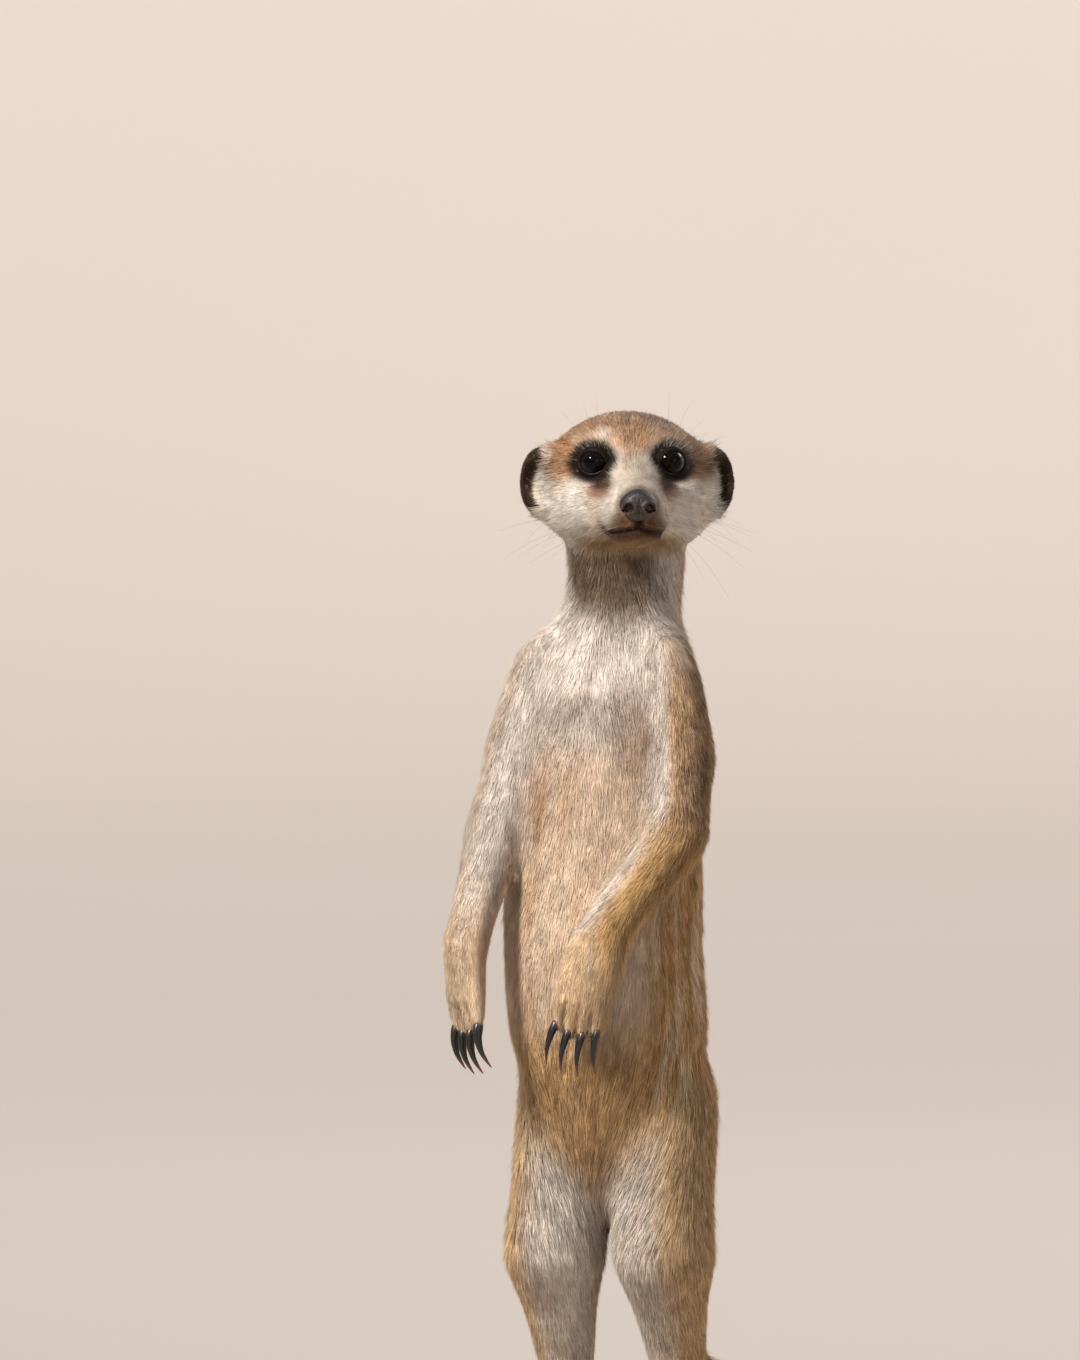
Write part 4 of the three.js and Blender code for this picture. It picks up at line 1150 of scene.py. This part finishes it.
def add_coat(name, of_region):
    """The hairs of one region of the skin, mapped on an unwrap of that region."""
    corners, corner_uv = unwrapped(of_region)
    a, b, c = (points[corners[:, i]] for i in range(3))
    area = np.linalg.norm(np.cross(b - a, c - a), axis=1) / 2 / MM**2
    expected = area * hair[corners, 3].mean(axis=1)
    running = np.concatenate([[0], np.cumsum(expected)])
    total = int(running[-1])
    spots = (np.arange(total) + chance.uniform(0, 1, total)) * running[-1] / total
    triangle = np.clip(np.searchsorted(running, spots) - 1, 0, len(corners) - 1)
    first, second = chance.uniform(0, 1, (2, total))
    over = first + second > 1
    first[over], second[over] = 1 - first[over], 1 - second[over]
    share_of = np.column_stack([1 - first - second, first, second])

    def at_roots(values):
        return (values[corners[triangle]] * share_of[:, :, None]).sum(axis=1)

    root, normal, lie, size, tint = (at_roots(v) for v in (points, facing, way, hair, colour_now))
    wild, loose, on_head = (at_roots(v[:, None]) for v in (grizzle, shag, of_head))
    root_uv = (corner_uv[triangle] * share_of[:, :, None]).sum(axis=1)
    normal, lie = unit(normal), unit(lie)
    vary = chance.normal(size=(total, 3))
    stray = chance.uniform(0, 1, total) < 0.025 + 0.04 * loose[:, 0]
    vary *= HAIR_SPREAD
    length = size[:, 0] * MM * np.clip(1 + vary[:, 0] + STRAY_LENGTH * stray, 0.55, 1.5)
    width = size[:, 1] * MM * np.clip(1 + vary[:, 1], 0.6, 1.5)
    lift = size[:, 2] * MM * np.clip(1 + vary[:, 2] + STRAY_HEIGHT * stray, 0.4, 2.8)
    first_way = unit(lie + 0.14 * chance.normal(size=(total, 3)))

    half, _, half_lie, _ = on_skin(root + 0.5 * length[:, None] * first_way)
    second_way = unit(0.45 * first_way + 0.75 * half_lie + 0.1 * chance.normal(size=(total, 3)))
    end, end_normal, _, end_tint = on_skin(half + 0.5 * length[:, None] * second_way)
    tip = end + lift[:, None] * end_normal

    leaders = chance.permutation(total)[: max(1, int(total / (CLUMP_SPACING**2 * size[:, 3].mean())))]
    tree = KDTree(len(leaders))
    for number, leader in enumerate(leaders.tolist()):
        tree.insert(root[leader], number)
    tree.balance()
    leader = leaders[np.array([tree.find(r)[1] for r in root.tolist()])]
    pull = chance.uniform(0.0, 0.25, total)[:, None] + 0.35 * loose
    shift = (tip[leader] - tip) * pull
    tip += shift * np.minimum(1, CLUMP_REACH * length / np.maximum(np.linalg.norm(shift, axis=1), 1e-9))[:, None]

    run = unit(tip - root)
    across = unit(np.cross(run, normal))
    foot_of = root - ROOT_DEPTH * MM * normal
    corners_of = np.empty((total, 4, 3))
    corners_of[:, 0] = foot_of - across * width[:, None] / 2
    corners_of[:, 1] = foot_of + across * width[:, None] / 2
    corners_of[:, 2] = foot_of + normal * (NEEDLE_THICKNESS * width + 0.06 * MM)[:, None]
    corners_of[:, 3] = tip
    corners_of[:, :, 2] = np.maximum(corners_of[:, :, 2], 0.1 * MM)
    shading = np.stack([unit(normal - 0.45 * across), unit(normal + 0.45 * across), normal,
                        unit(end_normal + 0.3 * run)], axis=1)

    lot = chance.uniform(0, 1, (total, 1))
    tone = np.exp(0.09 * chance.normal(size=(total, 1)) + 0.03 * chance.normal(size=(total, 3)))
    tone *= np.exp(CLUMP_TONE * chance.normal(size=(total, 1))[leader])
    dark = lot < 0.34 * wild
    pale = lot > 1 - 0.3 * wild
    base = tint * tone
    far = (tint + 0.75 * (1 - np.clip(1.5 * on_head, 0, 1)) * (end_tint - tint)) * tone
    end_paint = np.where(dark, far * (0.66 - 0.34 * wild), far * 1.06)
    end_paint = np.where(pale & ~dark, 0.35 * far + 0.65 * np.array(CREAM) * tone, end_paint)
    paints = np.ones((total, 4, 4))
    near = 0.6 * base + 0.4 * far
    paints[:, :3, :3] = np.where(dark, near * 0.76, near * 0.92)[:, None]
    paints[:, 3, :3] = end_paint

    inside = np.clip(root_uv, PATCH_SIZE, 1 - PATCH_SIZE)
    maps = inside[:, None] + PATCH_SIZE * np.array(PATCH_CORNERS)
    vertex_of_loop = (np.array(NEEDLE_FACES).ravel() + 4 * np.arange(total)[:, None]).ravel()
    mesh = bpy.data.meshes.new(name)
    mesh.vertices.add(total * 4)
    mesh.vertices.foreach_set("co", corners_of.astype(np.float32).ravel())
    mesh.loops.add(len(vertex_of_loop))
    mesh.loops.foreach_set("vertex_index", vertex_of_loop.astype(np.int32))
    mesh.polygons.add(total * 4)
    mesh.polygons.foreach_set("loop_start", (3 * np.arange(total * 4)).astype(np.int32))
    mesh.update(calc_edges=True)
    mesh.polygons.foreach_set("use_smooth", np.ones(total * 4, dtype=bool))
    mesh.normals_split_custom_set_from_vertices(shading.reshape(-1, 3).tolist())
    layer = mesh.uv_layers.new(name="OFBake")
    layer.data.foreach_set("uv", maps.reshape(-1, 2)[vertex_of_loop].astype(np.float32).ravel())
    mesh.color_attributes.new("coat_colour", "FLOAT_COLOR", "POINT").data.foreach_set(
        "color", paints.astype(np.float32).ravel())
    mesh.materials.append(hair_material)
    piece = bpy.data.objects.new(name, mesh)
    bpy.context.collection.objects.link(piece)
    finish_piece(piece, "coat_pale" if name in PALE_COATS else "coat_tan")


hair_material, start, shader, place_in = new_finish(
    "coat_hair", Specular_IOR_Level=0.14, Sheen_Weight=0.03, Sheen_Roughness=0.45)
paint = start.node("ShaderNodeAttribute", {"attribute_name": "coat_colour"})
patchy = noise(start, place_in, 3.5, 3.0)
fine = noise(start, place_in, 0.5, 2.0)
start.fill(shader, {
    "Base Color": (patchy * 0.6 + fine * 0.4).between(0.36, 0.62).mixed(
        toned(start, paint, (0.88, 0.86, 0.84)), paint),
    "Roughness": 0.48 + 0.2 * fine,
})
face_region = region[face_corner]
for name in sorted(set(face_region)):
    add_coat(name, face_region == name)

# ------------------------------------------------------------------ whiskers
# Thin stiff hairs that spring from the upper lip, the brow and the cheek and curve down and back, each a
# tapered rod rooted in the skin.

WHISKER_SIDES = 5
WHISKER_STEPS = 14
# Root (forward, left, up), first way, length, droop at the tip and thickness at the root, in millimetres.
WHISKERS = []
for row, (high, lengths) in enumerate(((-13.0, (22, 30)), (-15.2, (25, 34, 37)), (-17.4, (23, 33, 35)),
                                       (-19.2, (18, 27)))):
    for column, long in enumerate(lengths):
        WHISKERS.append(((20.5 - 3.1 * column - 0.4 * row, 4.6 + 1.75 * column + 0.25 * row, high - 0.5 * column),
                         (0.02 - 0.17 * column, 1.0, 0.16 - 0.12 * row), long, 6.5 + 1.6 * row, 0.06))
for root, first_way, long, droop in (
        ((4.0, 9.0, 8.0), (0.35, 0.1, 1.0), 21, 1.5), ((3.0, 11.0, 8.2), (0.2, 0.32, 1.0), 19, 2.0),
        ((1.5, 13.5, 7.6), (0.05, 0.7, 0.9), 16, 2.5), ((0.5, 15.5, 6.4), (0.0, 1.0, 0.75), 13, 2.5),
        ((-2.0, 21.0, -15.0), (0.1, 1.0, -0.5), 15, 4.0), ((1.0, 19.5, -16.5), (0.2, 1.0, -0.7), 12, 3.0)):
    WHISKERS.append((root, first_way, long, droop, 0.055))

material, start, shader, place_in = new_finish("whisker_hair", Specular_IOR_Level=0.35)
along = start.node("ShaderNodeAttribute", {"attribute_name": "along_whisker"}, output=2)
horny = noise(start, place_in, 1.2)
start.fill(shader, {
    "Base Color": (along + 0.4 * (horny - 0.5)).between(0.2, 0.9).mixed((0.34, 0.26, 0.20), (0.16, 0.115, 0.085)),
    "Roughness": 0.4 + 0.2 * horny,
})
whisker_points, whisker_faces, whisker_run = [], [], []
luck = np.random.default_rng(5)
steps = np.linspace(0, 1, WHISKER_STEPS + 1)
for sign in SIDES.values():
    for root, first_way, long, droop, thick in WHISKERS:
        spot, normal, _, _ = skin_tree.find_nearest(out_of_head(np.array(root) * (1, sign, 1)))
        ahead = unit(unit(first_way) * (1, sign, 1) + 0.07 * luck.normal(size=3)) @ HEAD_AXES
        length = long * MM * luck.uniform(0.84, 1.02)
        path = np.array(spot) - 0.5 * MM * np.array(normal) + ahead * length * steps[:, None]
        path += droop * MM * luck.uniform(0.6, 1.3) * steps[:, None] ** 2.1 * np.array((0, 0, -1.0))
        path += 0.09 * length * steps[:, None] ** 2 * (np.array((-1.0, 0, 0)) @ HEAD_AXES)
        reached = sum(len(p) for p in whisker_points)
        ring_points, ring_faces = tube(path, thick * MM * (1 - 0.82 * steps), WHISKER_SIDES)
        whisker_points.append(ring_points)
        whisker_faces += [tuple(reached + corner for corner in face) for face in ring_faces]
        whisker_run.append(np.repeat(steps, WHISKER_SIDES))
whiskers = mesh_piece("whiskers", np.concatenate(whisker_points), whisker_faces, material, "coat_dark")
whiskers.data.attributes.new("along_whisker", "FLOAT", "POINT").data.foreach_set(
    "value", np.concatenate(whisker_run).astype(np.float32))

# ------------------------------------------------------------------ stage
# A plain pale floor that runs up into a backdrop, soft studio light and a long lens.

# What the camera looks at, how far it is moved aside from there, and where it stands.
TARGET = Vector((0, -0.0785, 0.2263))
ASIDE = 0.0214
CAMERA_DISTANCE = 6.0
CAMERA_AZIMUTH = math.radians(22)
CAMERA_HEIGHT = 0.341
PICTURE_HEIGHT = 0.4159
# The floor rises to the wall in a cove of equal steps, in metres.
FLOOR_RADIUS = 7.5
COVE_STEPS = 12
COVE_STEP = 0.524
WALL_HEIGHT = 3.0
# Towards the main light, which stands to the right of the animal, in front and above, and where the others point.
KEY_WAY = (-0.23, -0.74, 0.63)
LIT_POINT = Vector((0, -0.07, 0.18))

towards_camera = Vector((math.sin(CAMERA_AZIMUTH), -math.cos(CAMERA_AZIMUTH), 0))
across = Vector((math.cos(CAMERA_AZIMUTH), math.sin(CAMERA_AZIMUTH), 0))
camera_data = bpy.data.cameras.new("camera")
camera = bpy.data.objects.new("camera", camera_data)
bpy.context.collection.objects.link(camera)
target = TARGET - across * ASIDE
camera.location = towards_camera * CAMERA_DISTANCE + Vector((0, TARGET.y, CAMERA_HEIGHT)) - across * ASIDE
camera.rotation_euler = (target - camera.location).to_track_quat("-Z", "Y").to_euler()
camera_data.sensor_fit = "VERTICAL"
camera_data.sensor_height = 24
camera_data.angle_y = 2 * math.atan(PICTURE_HEIGHT / 2 / CAMERA_DISTANCE)
camera_data.clip_start = 0.1
camera_data.clip_end = 100
bpy.context.scene.camera = camera

unselect()
bpy.ops.mesh.primitive_circle_add(vertices=96, radius=FLOOR_RADIUS, fill_type="NGON")
floor = bpy.context.active_object
floor.name = "floor"
bpy.ops.object.mode_set(mode="EDIT")
bpy.ops.mesh.select_mode(type="FACE")
bpy.ops.mesh.select_all(action="SELECT")
reach = FLOOR_RADIUS
for step in range(COVE_STEPS):
    lean = math.radians(90) * (step + 0.5) / COVE_STEPS
    growth = 1 + COVE_STEP * math.cos(lean) / reach
    bpy.ops.mesh.extrude_region_move()
    bpy.ops.transform.resize(value=(growth, growth, 1), center_override=(0, 0, 0))
    bpy.ops.transform.translate(value=(0, 0, COVE_STEP * math.sin(lean)))
    reach *= growth
bpy.ops.mesh.extrude_region_move()
bpy.ops.transform.translate(value=(0, 0, WALL_HEIGHT))
bpy.ops.mesh.delete(type="FACE")
bpy.ops.object.mode_set(mode="OBJECT")
bpy.ops.object.shade_smooth()
material, start, shader, place_in = new_finish("studio_paper", Specular_IOR_Level=0.2)
mist = noise(start, place_in, 900, 2.0)
start.fill(shader, {
    "Base Color": mist.mixed((0.465, 0.418, 0.385), (0.444, 0.397, 0.363)),
    "Roughness": 0.85 + 0.1 * mist,
})
floor.data.materials.append(material)

world = bpy.data.worlds.new("studio")
bpy.context.scene.world = world
world.use_nodes = True
world.node_tree.nodes["Background"].inputs["Color"].default_value = (0.94, 0.96, 1.0, 1)
world.node_tree.nodes["Background"].inputs["Strength"].default_value = 0.31
bpy.context.scene.view_settings.view_transform = "Standard"


def softbox(name, place, size, watts, colour):
    data = bpy.data.lights.new(name, "AREA")
    data.shape = "DISK"
    data.size = size
    data.energy = watts
    data.color = colour
    lamp = bpy.data.objects.new(name, data)
    bpy.context.collection.objects.link(lamp)
    lamp.location = place
    lamp.rotation_euler = (LIT_POINT - Vector(place)).to_track_quat("-Z", "Y").to_euler()


softbox("fill_light", (1.9, -1.3, 0.9), 1.3, 5, (0.92, 0.95, 1.0))
softbox("rim_light", (0.7, 1.8, 1.5), 0.8, 9, (1.0, 0.97, 0.93))
key_data = bpy.data.lights.new("key_light", "SUN")
key_data.energy = 5.3
key_data.angle = math.radians(11)
key_data.color = (1.0, 0.955, 0.90)
key = bpy.data.objects.new("key_light", key_data)
bpy.context.collection.objects.link(key)
key.rotation_euler = (-Vector(KEY_WAY)).to_track_quat("-Z", "Y").to_euler()
